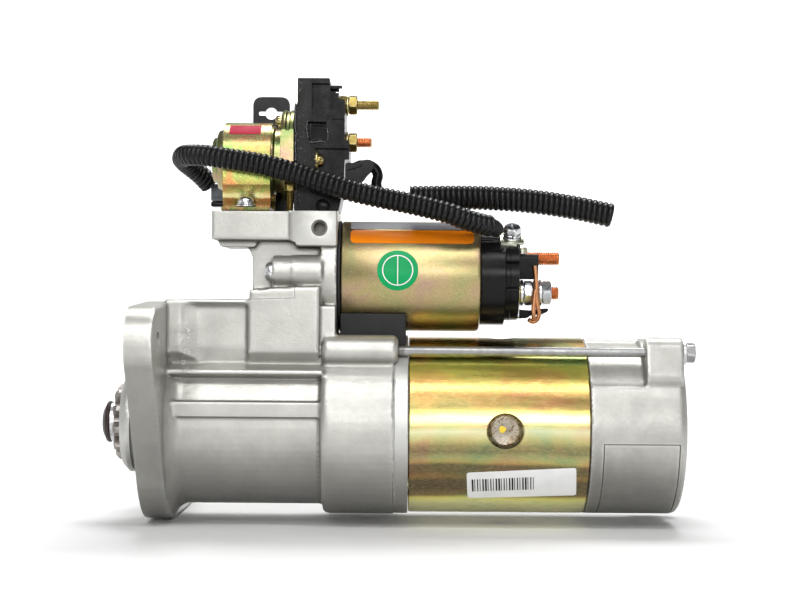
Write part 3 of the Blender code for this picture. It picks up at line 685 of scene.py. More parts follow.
def yoke_gold_painted_reflections():
    """Yellow-passivated zinc on the yoke, in bands of colour that run along the tube. The bands
    follow the angle round the tube and are painted reflections and highlights; green and pink
    patches tint them.
    """
    paint = Paint("yoke_plating", (0.7, 0.55, 0.2), 0.2, 1.0)
    turn = paint.math("ARCTAN2", paint.axis("Z"), paint.math("ABSOLUTE", paint.axis("Y")))
    drift = paint.noise(60, 3, 0.55, paint.stretched((0.6, 1, 1)))
    streak = paint.noise(9, 4, 0.6, paint.stretched((0.12, 1, 1)))
    place = paint.spread(turn, -math.pi / 2, math.pi / 2)
    place = paint.math("ADD", place, paint.spread(drift, 0.3, 0.7, -0.012, 0.012))
    place = paint.math("ADD", place, paint.spread(streak, 0.3, 0.7, -0.004, 0.004))
    # Painted reflections: colour by angle round the tube, pale stops for mirrored lamps and floor,
    # dark brown stops for mirrored shade.
    colour = paint.ramp(place, [
        (0.00, (0.95, 0.95, 0.80)), (0.185, (0.95, 0.95, 0.60)), (0.215, (0.85, 0.80, 0.30)),
        (0.235, (0.14, 0.10, 0.04)), (0.27, (0.05, 0.035, 0.016)), (0.305, (0.06, 0.04, 0.018)),
        (0.322, (0.26, 0.15, 0.05)), (0.34, (0.13, 0.09, 0.04)), (0.372, (0.09, 0.07, 0.03)),
        (0.385, (0.44, 0.36, 0.14)), (0.40, (0.33, 0.36, 0.20)), (0.425, (0.13, 0.12, 0.06)),
        (0.445, (0.20, 0.17, 0.08)), (0.465, (0.44, 0.40, 0.22)), (0.50, (0.78, 0.80, 0.58)),
        (0.52, (0.50, 0.46, 0.24)), (0.54, (0.86, 0.80, 0.46)), (0.565, (0.66, 0.54, 0.20)),
        (0.59, (0.36, 0.24, 0.08)), (0.64, (0.32, 0.20, 0.05)), (0.68, (0.34, 0.25, 0.05)),
        (0.71, (0.58, 0.47, 0.08)), (0.75, (0.80, 0.76, 0.12)), (0.77, (0.25, 0.27, 0.05)),
        (0.80, (0.45, 0.46, 0.20)), (0.86, (0.30, 0.20, 0.06)), (1.00, (0.40, 0.34, 0.12)),
    ])
    patch = paint.noise(26, 3, 0.6, paint.stretched((0.8, 1, 1)), distortion=0.6)
    tint = paint.ramp(patch, [
        (0.34, (0.12, 0.50, 0.30)), (0.44, (0.55, 0.62, 0.22)), (0.52, (0.80, 0.66, 0.25)),
        (0.60, (0.85, 0.42, 0.22)), (0.70, (0.75, 0.25, 0.30)),
    ])
    colour = paint.mix(0.7, colour, tint, "SOFT_LIGHT")
    colour = paint.mix(0.16, colour, (0.50, 0.47, 0.37))
    grain = paint.noise(0.7, 2, 0.6, paint.stretched((0.3, 1, 1)))
    paint.colour(paint.mix(paint.spread(grain, 0.4, 0.75, 0, 0.22), colour, (0.8, 0.68, 0.36)))
    lines = paint.noise(0.8, 3, 0.6, paint.stretched((0.03, 1, 1)))
    paint.gloss(streak, 0.2, 0.34)
    paint.bump((lines, 0.012), (paint.noise(16, 2), 0.2))
    return paint.look


def banded_strap():
    """Yellow-passivated zinc on the relay's strap: pale green and pink above, brown at its feet.
    Its colour follows height, and a pale cream band along the bend above its feet is a painted
    highlight.
    """
    paint = Paint("strap_plating", (0.4, 0.36, 0.17), 0.3, 1.0)
    drift = paint.noise(9, 3, 0.6, distortion=0.5)
    grain = paint.noise(0.6, 2, 0.6)
    place = paint.spread(paint.axis("Z"), 0.119, 0.171)
    place = paint.math("ADD", place, paint.spread(drift, 0.3, 0.7, -0.012, 0.012))
    # Colour by height; the pale cream stops near 0.165 and 0.19 are a painted highlight along the
    # bend above the feet.
    colour = paint.ramp(place, [
        (0.04, (0.12, 0.08, 0.035)), (0.145, (0.28, 0.14, 0.05)), (0.165, (0.90, 0.85, 0.50)),
        (0.19, (0.80, 0.72, 0.40)), (0.215, (0.42, 0.36, 0.14)), (0.29, (0.36, 0.19, 0.08)),
        (0.365, (0.35, 0.34, 0.12)), (0.48, (0.38, 0.40, 0.15)), (0.61, (0.28, 0.28, 0.11)),
        (0.71, (0.22, 0.24, 0.10)), (0.79, (0.42, 0.34, 0.20)), (0.885, (0.45, 0.40, 0.22)),
        (1.00, (0.32, 0.30, 0.18)),
    ])
    patch = paint.ramp(paint.noise(13, 3, 0.6, distortion=0.8), [
        (0.36, (0.15, 0.60, 0.25)), (0.50, (0.62, 0.60, 0.35)), (0.64, (0.95, 0.30, 0.30)),
    ])
    colour = paint.mix(0.75, colour, patch, "SOFT_LIGHT")
    paint.colour(paint.mix(paint.spread(grain, 0.4, 0.75, 0, 0.25), colour, (0.60, 0.54, 0.30)))
    paint.gloss(grain, 0.24, 0.36)
    paint.bump((grain, 0.03), (paint.noise(7, 2), 0.12))
    return paint.look


def speckled_gold(name, base, patch, size=22.0, shine=(0.3, 0.42), fleck=0.5):
    """Yellow-passivated zinc with a satin grain and drifting green and pink patches."""
    paint = Paint(name, base, 0.35, 1.0)
    drift = paint.noise(size, 3, 0.6, distortion=0.4)
    grain = paint.noise(0.55, 2, 0.7)
    colour = paint.ramp(drift, [
        (0.30, patch), (0.42, midway(patch, base)), (0.5, base),
        (0.58, midway(base, (0.46, 0.30, 0.2))), (0.70, (0.42, 0.26, 0.2)),
    ])
    speck = paint.ramp(grain, [(0.35, (0.30, 0.23, 0.08)), (0.65, (0.70, 0.62, 0.38))])
    paint.colour(paint.mix(paint.spread(grain, 0.3, 0.7, 0, fleck), colour, speck))
    paint.gloss(grain, *shine)
    paint.bump((grain, 0.035), (paint.noise(9, 2), 0.12))
    return paint.look


def midway(first, second):
    return tuple(0.5 * (a + b) for a, b in zip(first, second))


def plated(name, tint, rough, stain=None, worn=(0.9, 0.9, 0.9)):
    """Bright plated or turned metal with fine scratches and faint stains."""
    paint = Paint(name, tint, rough[0], 1.0)
    scratch = paint.noise(0.9, 4, 0.65, paint.stretched((1, 0.25, 1)))
    cloud = paint.noise(5, 4, 0.6)
    dull = stain or tuple(value * 0.7 for value in tint)
    base = paint.mix(paint.spread(cloud, 0.4, 0.7, 0, 0.7), tint, dull)
    paint.colour(paint.mix(paint.times(paint.edges(), 0.5), base, worn))
    paint.gloss(cloud, *rough)
    paint.bump((scratch, 0.02))
    return paint.look


def plastic(name, tint, rough, dust=0.25, relief=0.03, shine=0.3):
    """Moulded plastic with a faint mould texture, dust and rubbed corners."""
    paint = Paint(name, tint, rough[0], 0.0)
    paint.shader.inputs["Specular IOR Level"].default_value = shine
    cloud = paint.noise(7, 4, 0.65)
    grain = paint.noise(0.45, 2)
    paler = tuple(min(1.0, value * 1.9 + 0.006) for value in tint)
    base = paint.mix(paint.spread(cloud, 0.5, 0.8, 0, dust), tint, paler)
    paint.colour(paint.mix(paint.times(paint.edges(0.51, 0.6), 0.5), base, paler))
    paint.gloss(cloud, *rough)
    paint.bump((grain, relief), (cloud, relief * 1.5))
    return paint.look


def dusty_black():
    """The relay block's black plastic, dusty along its front part and smeared with dry sealant."""
    paint = Paint("relay_plastic", BLACK, 0.3, 0.0)
    paint.shader.inputs["Specular IOR Level"].default_value = 0.14
    along = paint.axis("X")
    cloud = paint.noise(6, 4, 0.65)
    fine = paint.noise(1.6, 4, 0.7)
    front = paint.times(
        paint.spread(along, 0.0912, 0.0922, 1, 0), paint.spread(cloud, 0.25, 0.6, 0.35, 1),
    )
    base = paint.mix(front, BLACK, (0.014, 0.0135, 0.0125))
    seam = paint.times(paint.spread(along, 0.0855, 0.090, 1, 0), paint.spread(fine, 0.60, 0.68))
    paint.colour(paint.mix(paint.times(seam, 0.75), base, (0.30, 0.29, 0.29)))
    paint.gloss(cloud, 0.2, 0.4)
    paint.bump((paint.noise(0.45, 2), 0.015), (fine, 0.03))
    return paint.look


def dark_steel(name):
    """Hardened steel under oil: mottled, with its edges worn bright."""
    tint = (0.16, 0.15, 0.14)
    paint = Paint(name, tint, 0.35, 0.9)
    mottle = paint.noise(2.2, 5, 0.7)
    rusty = tuple(value * scale for value, scale in zip(tint, (1.1, 0.75, 0.55)))
    base = paint.mix(paint.spread(mottle, 0.4, 0.65), tint, rusty)
    paint.colour(paint.mix(paint.times(paint.edges(), 0.7), base, (0.5, 0.49, 0.47)))
    paint.gloss(mottle, 0.25, 0.5)
    paint.bump((paint.noise(0.7, 3), 0.03))
    return paint.look


def mottled(name):
    """A plated screw head that has rubbed and stained: pale patches between brown ones, with
    painted shade in its creases.
    """
    paint = Paint(name, (0.5, 0.45, 0.38), 0.4, 0.9)
    patch = paint.noise(3.4, 5, 0.65, distortion=0.8)
    fine = paint.noise(0.7, 3, 0.6)
    base = paint.ramp(patch, [
        (0.36, (0.16, 0.11, 0.06)), (0.46, (0.38, 0.31, 0.22)), (0.52, (0.56, 0.52, 0.45)),
        (0.60, (0.42, 0.34, 0.24)), (0.68, (0.20, 0.15, 0.09)),
    ])
    # Painted shade: corners that go in turn nearly black.
    paint.colour(paint.mix(paint.times(paint.creases(), 0.8), base, (0.05, 0.035, 0.02)))
    paint.gloss(patch, 0.3, 0.55)
    paint.bump((patch, 0.15), (fine, 0.05))
    return paint.look


def printed(name, tint, second=None, rough=(0.3, 0.45)):
    """Sticker film: even colour with faint wrinkles, a little wear and a satin face."""
    paint = Paint(name, tint, 0.35, 0.0)
    paint.shader.inputs["Specular IOR Level"].default_value = 0.2
    cloud = paint.noise(11, 4, 0.6)
    worn = tuple(value * 0.82 for value in tint)
    paint.colour(paint.mix(paint.spread(cloud, 0.35, 0.75, 0, 0.6), tint, second or worn))
    paint.gloss(cloud, *rough)
    paint.bump((cloud, 0.08), (paint.noise(0.7, 2), 0.01))
    return paint.look


def wound(name, tint):
    """Enamelled copper winding: rows of wire, with painted shade darkening the grooves between the
    rows.
    """
    paint = Paint(name, tint, 0.35, 0.6)
    wires = paint.tree.nodes.new("ShaderNodeTexWave")
    wires.bands_direction = "X"
    wires.inputs["Scale"].default_value = 1 / (4.5 * MM)
    wires.inputs["Distortion"].default_value = 0.6
    paint.link(paint.place, wires.inputs["Vector"])
    dark = tuple(value * 0.35 for value in tint)
    # Painted shade: the colour falls to about a third between the rows of wire.
    paint.colour(paint.mix(wires.outputs["Fac"], dark, tint))
    paint.gloss(paint.noise(3), 0.28, 0.45)
    paint.bump((wires.outputs["Fac"], 0.3))
    return paint.look


def make_paints():
    """Every material, under the short name that a piece asks for it by."""
    return {
        "drive_cast": coarse_cast("drive_cast"),
        "cast": cast_aluminium("rear_cast"),
        "yoke": yoke_gold_painted_reflections(),
        "can": speckled_gold("can_plating", (0.42, 0.335, 0.15), (0.31, 0.33, 0.14)),
        "relay_gold": speckled_gold(
            "relay_plating", (0.31, 0.29, 0.125), (0.17, 0.28, 0.09), 9, (0.24, 0.36), 0.25,
        ),
        "strap": banded_strap(),
        "yellow": plated(
            "yellow_plating", (0.44, 0.35, 0.12), (0.22, 0.36), (0.20, 0.15, 0.045),
            (0.75, 0.66, 0.36),
        ),
        "brass_dark": plated(
            "olive_plating", (0.26, 0.20, 0.06), (0.25, 0.4), (0.11, 0.08, 0.025),
            (0.60, 0.50, 0.22),
        ),
        "yellow_zinc": plated(
            "pale_plating", (0.50, 0.50, 0.38), (0.24, 0.38), (0.34, 0.35, 0.22),
            (0.85, 0.85, 0.75),
        ),
        "zinc": plated("zinc_plating", (0.62, 0.64, 0.66), (0.22, 0.36)),
        "bolt": plated("bolt_zinc", (0.34, 0.34, 0.34), (0.32, 0.46)),
        "steel": plated("turned_steel", (0.52, 0.52, 0.52), (0.25, 0.4)),
        "bearing": plated("bearing_steel", (0.72, 0.72, 0.73), (0.12, 0.22)),
        "dark": dark_steel("oiled_steel"),
        "brown": plastic("brown_oxide", (0.030, 0.020, 0.017), (0.3, 0.45), 0.3),
        "screw_face": mottled("screw_face"),
        "copper": plated(
            "bare_copper", (0.72, 0.32, 0.14), (0.28, 0.42), (0.42, 0.16, 0.06),
            (0.85, 0.48, 0.28),
        ),
        "winding": wound("enamelled_wire", (0.50, 0.19, 0.08)),
        "carbon": plastic("brush_carbon", (0.05, 0.05, 0.05), (0.6, 0.75)),
        "black": plastic("black_plastic", BLACK, (0.16, 0.28), 0.12, 0.03, 0.16),
        "paint": plastic("black_paint", BLACK, (0.14, 0.24), 0.1, 0.03, 0.14),
        "relay_black": dusty_black(),
        "sealant": plastic("glossy_sealant", (0.006, 0.006, 0.0065), (0.05, 0.12), 0.5, 0.25, 0.9),
        "grey": plastic("grey_plastic", (0.13, 0.14, 0.16), (0.35, 0.5)),
        "rubber": plastic("black_rubber", (0.010, 0.010, 0.010), (0.5, 0.65), 0.3, 0.06),
        "conduit": plastic("conduit_plastic", (0.003, 0.003, 0.0035), (0.26, 0.38), 0.1, 0.02),
        "orange": printed("orange_film", (0.90, 0.23, 0.0)),
        "green": printed("green_film", (0.0, 0.34, 0.10)),
        "red": printed("red_film", (0.40, 0.0, 0.03), (0.34, 0.0, 0.025), (0.5, 0.62)),
        "white": printed("white_film", (0.86, 0.86, 0.86)),
        "ink": printed("black_ink", (0.02, 0.02, 0.02)),
        "grey_film": printed("grey_film", (0.22, 0.22, 0.24)),
        "spot": printed("yellow_paint", (0.85, 0.62, 0.06)),
    }


def dressed(item, paint, slot, *nodes, body="housing"):
    """Gives a piece its material, the solids it stands for and the body it rides on. Its slot
    argument is not used.
    """
    item.data.materials.clear()
    item.data.materials.append(PAINTS[paint])
    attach(item, body)
    if nodes:
        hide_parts(*nodes)
    return item


# ---------------------------------------------------------------- castings


def drive_casting():
    """The housing: nose, flange, barrel, neck and the pad that carries the relay."""
    flange = hull([
        ((0, 0), 54.3), ((-73, 46), 20.3), ((-12, 60), 8.8), ((12, 60), 8.8), ((73, -38), 17.8),
    ])
    base = prism("drive_casting", flange, -1.5, 15)
    barrel = turned("barrel", [
        (13.5, 0), (13.5, 53.2), (15.5, 51.6), (17.6, 48.8), (20, 46.6), (23, 45.5), (97.4, 45.5),
        (97.6, 44.6), (99.2, 44.6), (99.7, 49.2), (101.2, 50.5), (103.5, 50.9), (139, 50.9),
        (139, 0),
    ])
    joins = [barrel, *side_walls(), *neck_and_pad(), *bolt_bosses()]
    cuts = [
        side_pocket(-1), side_pocket(1),
        block("neck_groove", (79.8, 84.5), (-31, -17.4), (98.2, 102.2)),
    ]
    combined(base, joins, cuts)
    cast(base)
    nose = turned("nose", [
        (-13.3, 0), (-13.3, 24.4), (-12.9, 25.0), (-10.0, 28.0), (-9.7, 28.2), (-7.2, 28.2),
        (-6.9, 27.0), (-4.6, 27.0), (-4.3, 28.2), (2, 28.2), (2, 0),
    ], steps=96)
    combined(base, [nose], machined_cuts(), "MANIFOLD")
    dressed(base, "drive_cast", "cast_aluminium", "drive_housing")


def side_walls():
    """The box over the barrel, and the ribs along each side of it."""
    box = [
        (-34.4, 34.8), (34.4, 34.8), (39.8, 41.6), (39.8, 69.4), (39.0, 70.2), (-39.0, 70.2),
        (-39.8, 69.4), (-39.8, 41.6),
    ]
    neck_base = [(59.8, 60), (98, 60), (98, 77.3), (84.6, 77.1), (59.8, 75.4)]
    walls = [
        prism("upper_box", box, 13.9, 97.9),
        block("waist", (13.7, 98.6), (-35.5, 35.5), (4, 40)),
        block("rear_step", (96.8, 106.9), (-36.2, 36.2), (40, 66.7)),
        prism("neck_base", neck_base, -39.8, 39.8, "Y"),
    ]
    shelf = [
        (30, 35.2), (34.2, 35.0), (38.8, 33.4), (43.4, 31.6), (43.4, 29.4), (37.0, 27.6),
        (30, 27.6),
    ]
    for side in (-1, 1):
        walls.append(prism(f"shelf_{side}", [(y * side, z) for y, z in shelf], 13.6, 100.4))
        across = sorted((36 * side, 46.7 * side))
        walls.append(block(f"rib_{side}", (13.4, 102), across, (6.6, 14.4)))
    return walls


def side_pocket(side):
    """A sunk panel in the box's side, with a sloped end towards the flange."""
    rings = []
    for z, deep, slope in (
        (35.3, 34.4, 36), (44.2, 36.9, 31.5), (66.2, 36.9, 31.5), (69.2, 40.3, 26.5),
    ):
        outline = [(15, 43.2), (19, 41.6), (23.5, 39.2), (slope, deep), (59.2, deep), (59.2, 43.2)]
        rings.append([(x, side * max(y, deep), z) for x, y in outline])
    return skin(f"side_pocket_{side}", rings)


def neck_and_pad():
    """The neck over the lever, the solenoid's seat and the pad under the relay."""
    neck = [(59.6, 68), (98.2, 68), (98.2, 106), (52, 106), (52.5, 102.5), (57, 99.4), (59.4, 94)]
    step = rounded([(41, 105), (41, 99.4), (62, 99.4), (62, 105)], 2)
    pieces = [
        prism("neck", neck, -17.2, 17.2, "Y"),
        block("pad", (37.6, 82.8), (-28.3, 28.3), (103.2, 121.5)),
        prism("pad_step", step, -22.2, 22.2, "Y"),
        block("machined_block", (81.8, 107.3), (-30.3, 28.6), (99.8, 121.5)),
        rod("solenoid_seat", 98.2, 107.3, 31.4, (0, SOLENOID_Z), 0, 72),
        block("seat_web", (96, 99), (-30, 30), (66, 90)),
    ]
    for i, spot in enumerate(SOLENOID_SCREWS):
        pieces.append(rod(f"solenoid_boss_{i}", 82.6, 98.9, 9.7, spot))
        pieces.append(rod(f"solenoid_boss_end_{i}", 71.4, 83.2, 9.3, spot))
    return pieces


def bolt_bosses():
    """The two bosses along the wide end, which take the through bolts."""
    bosses = []
    for i, (y, z) in enumerate(BOLT_SPOTS):
        bosses.append(rod(f"bolt_boss_{i}", 99.6, 141.4, 8.6, (y, z), 2.2))
        web = hull([((y, z), 7.6), ((0.72 * y, 0.72 * z), 9)], 32)
        bosses.append(prism(f"bolt_web_{i}", web, 101, 138.5))
    return bosses


def machined_cuts():
    """The faces and bores that a cutter makes after casting, so their corners are sharp."""
    cuts = [
        turned("housing_bore", [
            (-16, 0), (-16, 23.2), (-13.6, 23.2), (-13.0, 22.5), (2.7, 22.5), (2.7, 26.3),
            (17.5, 26.3), (17.5, 40), (104, 40), (104, 47.4), (145, 47.4), (145, 0),
        ], steps=96),
        turned("flange_face", [(-12, 28.2), (-12, 150), (0, 150), (0, 28.2)], steps=96),
        block("pad_face", (30, 82.3), (-40, 40), (119, 130)),
        block("block_face", (82.3, 120), (-40, 40), (119.3, 130)),
        block("block_side", (82.3, 120), (-40, -30), (100.2, 130)),
        turned("joint_face", [(139, 44), (139, 51.6), (150, 51.6), (150, 44)], steps=96),
        block("lever_chamber", (64, 97.5), (-23, 23), (20, 61)),
        block("plunger_chamber", (63, 110), (-11, 11), (55, 96)),
        prism("pin_bore", circle((76, 50), 3.1), -31, 31, "Y"),
    ]
    cuts.append(rod_across("pad_thread", (97.4, 110), [
        (-31, 0), (-31, 4.6), (-29.9, 4.6), (-28.6, 3.4), (-18, 3.4), (-18, 0),
    ]))
    strip_edge = [(59, 70.6), (84.4, 71.4), (84.4, 77.8), (84.9, 77.8), (84.9, 71.0), (59, 70.1)]
    for side in (-1, 1):
        cuts.append(prism(f"strip_edge_{side}", strip_edge, *sorted((39.2 * side, 42 * side)), "Y"))
    for spots, low, high, radius in (
        (FLANGE_HOLES, -1, 16.5, 5.5), (SOLENOID_SCREWS, 71, 108, 3.4), (BOLT_SPOTS, 118, 142, 3.1),
    ):
        cuts += [rod(f"hole_{i}", low, high, radius, spot) for i, spot in enumerate(spots)]
    return cuts


def plate_casting():
    """The centre plate between the housing and the yoke, and the flash round its joint."""
    plate = turned("plate_casting", [
        (139.4, 13), (139.4, 50.0), (139.9, 50.5), (146.7, 50.5), (147.2, 50.0), (147.2, 20.3),
        (140.6, 20.3), (140.6, 13),
    ], steps=120)
    dressed(plate, "cast", "cast_aluminium", "centre_plate")
    angles = angles_round(240)
    crumb = 0.5 + 0.5 * np.sin(9 * angles) * np.sin(23 * angles + 1) + 0.25 * np.sin(61 * angles)
    lip = np.clip(crumb, 0, 1)
    sway = 0.5 * np.sin(5 * angles + 0.6) * lip
    rings = []
    for x, radius in ((138.7, 50.2), (138.9, 50.6), (139.3, 50.75), (139.7, 50.5), (139.8, 50.1)):
        rings.append(ring(x + sway, radius + 0.25 * lip - 0.45 * (1 - lip), (0, 0), 240))
    dressed(skin("joint_flash", rings, True), "cast", "cast_aluminium")


def rear_casting():
    """The rear bracket, relieved on each side so that its through bolt runs clear."""
    base = turned("rear_casting", [
        (246.1, 0), (246.1, YOKE_R), (294.8, YOKE_R), (297.2, 49.0), (298.6, 47.4), (298.8, 45),
        (298.8, 0),
    ], steps=96)
    joins, cuts = [], []
    for spot, foot, turn in zip(BOLT_SPOTS, ((-36.5, 30), (36.5, -30)), (0, 180)):
        joins.append(prism(f"bracket_boss_{turn}", hull([(spot, 8.5), (foot, 8)], 40), 277, 297.3))
        relief = sector(47.8, 56, 97 + turn, 150 + turn, 24)
        cuts.append(prism(f"bracket_relief_{turn}", relief, 240, 276.8))
    combined(base, [], cuts)
    combined(base, joins)
    cast(base)
    bores = [
        turned("bracket_room", [
            (240, 0), (240, 45.6), (280.9, 45.6), (280.9, 19), (281, 14.6), (292.4, 14.6),
            (292.4, 0),
        ], steps=96),
        turned("bracket_face", [(240, 40), (240, 60), (246.1, 60), (246.1, 40)], steps=96),
    ]
    for x in (253.0, 294.0):
        bores.append(prism(f"seam_{x}", sector(48.9, 51, 188, 262, 30), x, x + 0.7))
    bores.append(prism("seam_along", sector(48.9, 51, 187.5, 188.3, 1), 253, 294.5))
    for i, spot in enumerate(BOLT_SPOTS):
        bores.append(rod(f"bracket_hole_{i}", 270, 299, 3.1, spot))
        bores.append(rod(f"bracket_spot_{i}", 297, 299, 7.4, spot))
    combined(base, [], bores, "MANIFOLD")
    dressed(base, "cast", "cast_aluminium", "rear_bracket")


# ---------------------------------------------------------------- motor


def yoke_tube():
    """The plated tube round the motor, with a seat for each pole screw."""
    base = turned("yoke_tube", [
        (147.6, 45.5), (147.6, 49.2), (148.0, YOKE_R), (245.3, YOKE_R), (245.7, 49.2),
        (245.7, 45.5),
    ], steps=180)
    holes = []
    for turn in QUARTERS:
        hole = turned(f"screw_seat_{turn}", [
            (40, 0), (40, 9.7), (48.7, 9.7), (50.4, 10.9), (55, 10.9), (55, 0),
        ], steps=56)
        holes.append(spoke(hole, turn))
    combined(base, [], holes, sharp=30)
    dressed(base, "yoke", "plated_yoke", "yoke")


def spoke(item, turn):
    """Turns a solid built along X so that it points away from the motor axis at a pole screw."""
    points = np.zeros(len(item.data.vertices) * 3, np.float32)
    item.data.vertices.foreach_get("co", points)
    x, y, z = points.reshape(-1, 3).T
    c, s = math.cos(math.radians(turn)), math.sin(math.radians(turn))
    moved = np.stack([POLE_SCREW_X * MM + y, c * x + s * z, s * x - c * z], axis=1)
    item.data.vertices.foreach_set("co", moved.astype(np.float32).ravel())
    item.data.update()
    return item


def pole_screws():
    """Each pole shoe with the countersunk screw that holds it to the yoke."""
    for i, turn in enumerate(QUARTERS):
        outline = arc((0, 0), 34.2, turn - 36, turn + 36, 16)
        outline += arc((0, 0), 37.5, turn + 36, turn + 21, 4)
        outline += arc((0, 0), 45.1, turn + 21, turn - 21, 10)
        outline += arc((0, 0), 37.5, turn - 21, turn - 36, 4)
        shoe = prism(f"pole_piece_{i + 1}", outline, 165.5, 234.5, "X", 0.6)
        screw = spoke(turned("pole_screw", [
            (43, 0), (43, 9.3), (46.4, 9.3), (48.0, 7.9), (48.4, 7.3), (48.2, 6.9), (48.2, 0),
        ], steps=56), turn)
        combined(shoe, [screw])
        dressed(shoe, "screw_face", "steel", f"pole_shoe_{i + 1}")
    mark = spoke(blob("paint_spot", (48.2, -1.6, 0.9), 1.9, 0.35), 180)
    dressed(mark, "spot", "zinc_steel")


def blob(name, centre, radius, height):
    """A small rounded drop that stands on a face square to X."""
    wobble = 1 + 0.08 * np.sin(3 * angles_round(24) + 1)
    shares = ((1.0, -0.05), (1.0, 0.1), (0.9, 0.5), (0.6, 0.85), (0.3, 0.97), (0.05, 1.0))
    return skin(name, [
        ring(centre[0] + lift * height, radius * share * wobble, centre[1:], 24)
        for share, lift in shares
    ])


def long_bolts():
    """The two through bolts, each with its washer and flanged head."""
    for i, spot in enumerate(BOLT_SPOTS):
        shank = turned(f"long_bolt_{i + 1}", [
            (119, 0), (119, 2.3), (119.6, 2.7), (297.4, 2.7), (297.4, 6.3), (297.7, 6.6),
            (299.1, 6.6), (299.4, 6.3), (299.4, 0),
        ], spot, 40)
        head = nut("bolt_head", 299.3, 304.6, 10, spot, turn=12)
        dressed(combined(shank, [head]), "bolt", "zinc_steel", f"through_bolt_{i + 1}")
        ridges = thread(f"bolt_thread_{i + 1}", 138, 145.4, 3.0, 0.8, spot)
        dressed(ridges, "dark", "zinc_steel")


def pinion_pieces():
    """The pinion with chamfered teeth, and the stop nut in front of it."""
    teeth, root, tip = 11, 14.8, 21.6
    flank = [
        (0.36, root + 0.2), (0.30, root + 1.4), (0.25, 17.6), (0.19, 19.8), (0.13, tip - 0.2),
        (0.1, tip),
    ]
    tooth = [(-0.5, root), *((-offset, radius) for offset, radius in flank), *flank[::-1]]
    outline = [
        polar(radius, 90 + 360 / teeth * (i + offset))
        for i in range(teeth) for offset, radius in tooth
    ]
    gear = prism("pinion_gear", outline, -17.9, 1.6, "X")
    bevel = turned("pinion_ends", [
        (-18, 0), (-18, 19.4), (-15.4, 21.9), (1.7, 21.9), (1.7, 0),
    ], steps=96)
    bore = rod("pinion_bore", -19, 3, 11.3)
    recess = turned("pinion_recess", [(-19, 0), (-19, 12.6), (-16.4, 12.2), (-16.4, 0)], steps=64)
    combined(gear, [], [bore, recess], keep=[bevel])
    softened(gear, 0.25)
    dressed(gear, "dark", "dark_steel", "pinion", body="pinion")
    cap = turned("stop_nut", [
        (-21.3, 0), (-21.3, 11.4), (-21.6, 11.7), (-22.9, 11.7), (-23.6, 11.2), (-24.4, 9.4),
        (-25.1, 8.2), (-25.7, 6.6), (-25.9, 4.2), (-26.2, 3.5), (-26.2, 0),
    ], steps=64)
    dressed(cap, "brown", "dark_steel", "pinion_stop_nut", body="pinion")


# ---------------------------------------------------------------- solenoid


def solenoid_pieces():
    """The solenoid's can, its gasket, its two fixing screws and the rubber under it."""
    axis = (0, SOLENOID_Z)
    case = turned("solenoid_case", [
        (109.2, 10.6), (109.2, 29.8), (109.5, 30.5), (110.2, CAN_R), (184.8, CAN_R), (186.3, 30.5),
        (187, 29.4), (187, 28.4), (112.8, 28.4), (112.8, 10.6),
    ], axis, 160)
    dressed(case, "can", "plated_can", "solenoid_can")
    gasket = turned("seat_gasket", [
        (107.7, 14), (107.7, 31.1), (107.9, 31.3), (108.7, 31.3), (108.9, 31.1), (108.9, 14),
    ], axis, 96)
    dressed(gasket, "rubber", "black_rubber", "solenoid_gasket")
    for i, spot in enumerate(SOLENOID_SCREWS):
        screw = turned(f"solenoid_screw_{i + 1}", [
            (67, 0), (67, 2.4), (67.2, 3.2), (68.0, 4.8), (69.2, 5.6), (70.6, 5.8), (71.4, 5.8),
            (71.4, 3), (107, 3), (107, 0),
        ], spot, 48)
        socket = prism("socket", circle(spot, 2.6, 6), 66, 69)
        dressed(combined(screw, [], [socket]), "zinc", "zinc_steel", f"solenoid_bolt_{i + 1}")
    saddle()


def saddle():
    """The rubber that fills the space between the solenoid and the motor."""
    half = 23.6
    low = math.degrees(math.acos(half / 51.0))
    high = math.degrees(math.acos(half / 31.5))
    outline = arc((0, 0), 51.0, low, 180 - low, 24)
    outline += arc((0, SOLENOID_Z), 31.5, 180 + high, 360 - high, 24)
    rubber = prism("rubber_saddle", outline, 109.0, 145.7, "X", 0.7)
    dressed(rubber, "rubber", "black_rubber", "rubber_block")


def terminal_cap():
    """The solenoid's black cap, with the bosses that hold its studs and its small terminal."""
    cap = turned("terminal_cap", [
        (187.3, 22), (187.3, 27.0), (187.6, 27.3), (200.5, 27.3), (200.9, 27.0), (201.4, 24.6),
        (208.4, 24.5), (208.7, 24.0), (208.7, 0), (196, 0), (196, 22),
    ], (0, SOLENOID_Z), 120)
    joins = [
        prism("upper_boss", rectangle((-9.4, 9.4), (82.8, 97.0), 2), 208, 220.2, "X"),
        prism("screw_boss", [(-19.5, 88), (-4, 88), (-4, 107), (-19.5, 97.8)], 199.4, 209.6, "X"),
        block("rib_near", (201, 208.4), (-26.2, -20), (92.5, 93.7)),
        block("rib_low", (201, 208.4), (-26.2, -20), (76.2, 77.2)),
        rod("mould_rim", 203.2, 204.0, 24.9, (0, SOLENOID_Z), 0.2, 96),
    ]
    cuts = [
        rod("upper_stud_hole", 190, 222, 4.25, (0, UPPER_STUD_Z)),
        rod("lower_stud_hole", 190, 222, 4.25, (0, LOWER_STUD_Z)),
        prism("screw_seat", [(-30, 93.7), (-4, 109.9), (-4, 125), (-30, 125)], 197.8, 212),
    ]
    combined(cap, joins, cuts)
    dressed(softened(cap, 0.25), "black", "black_plastic", "solenoid_cap")


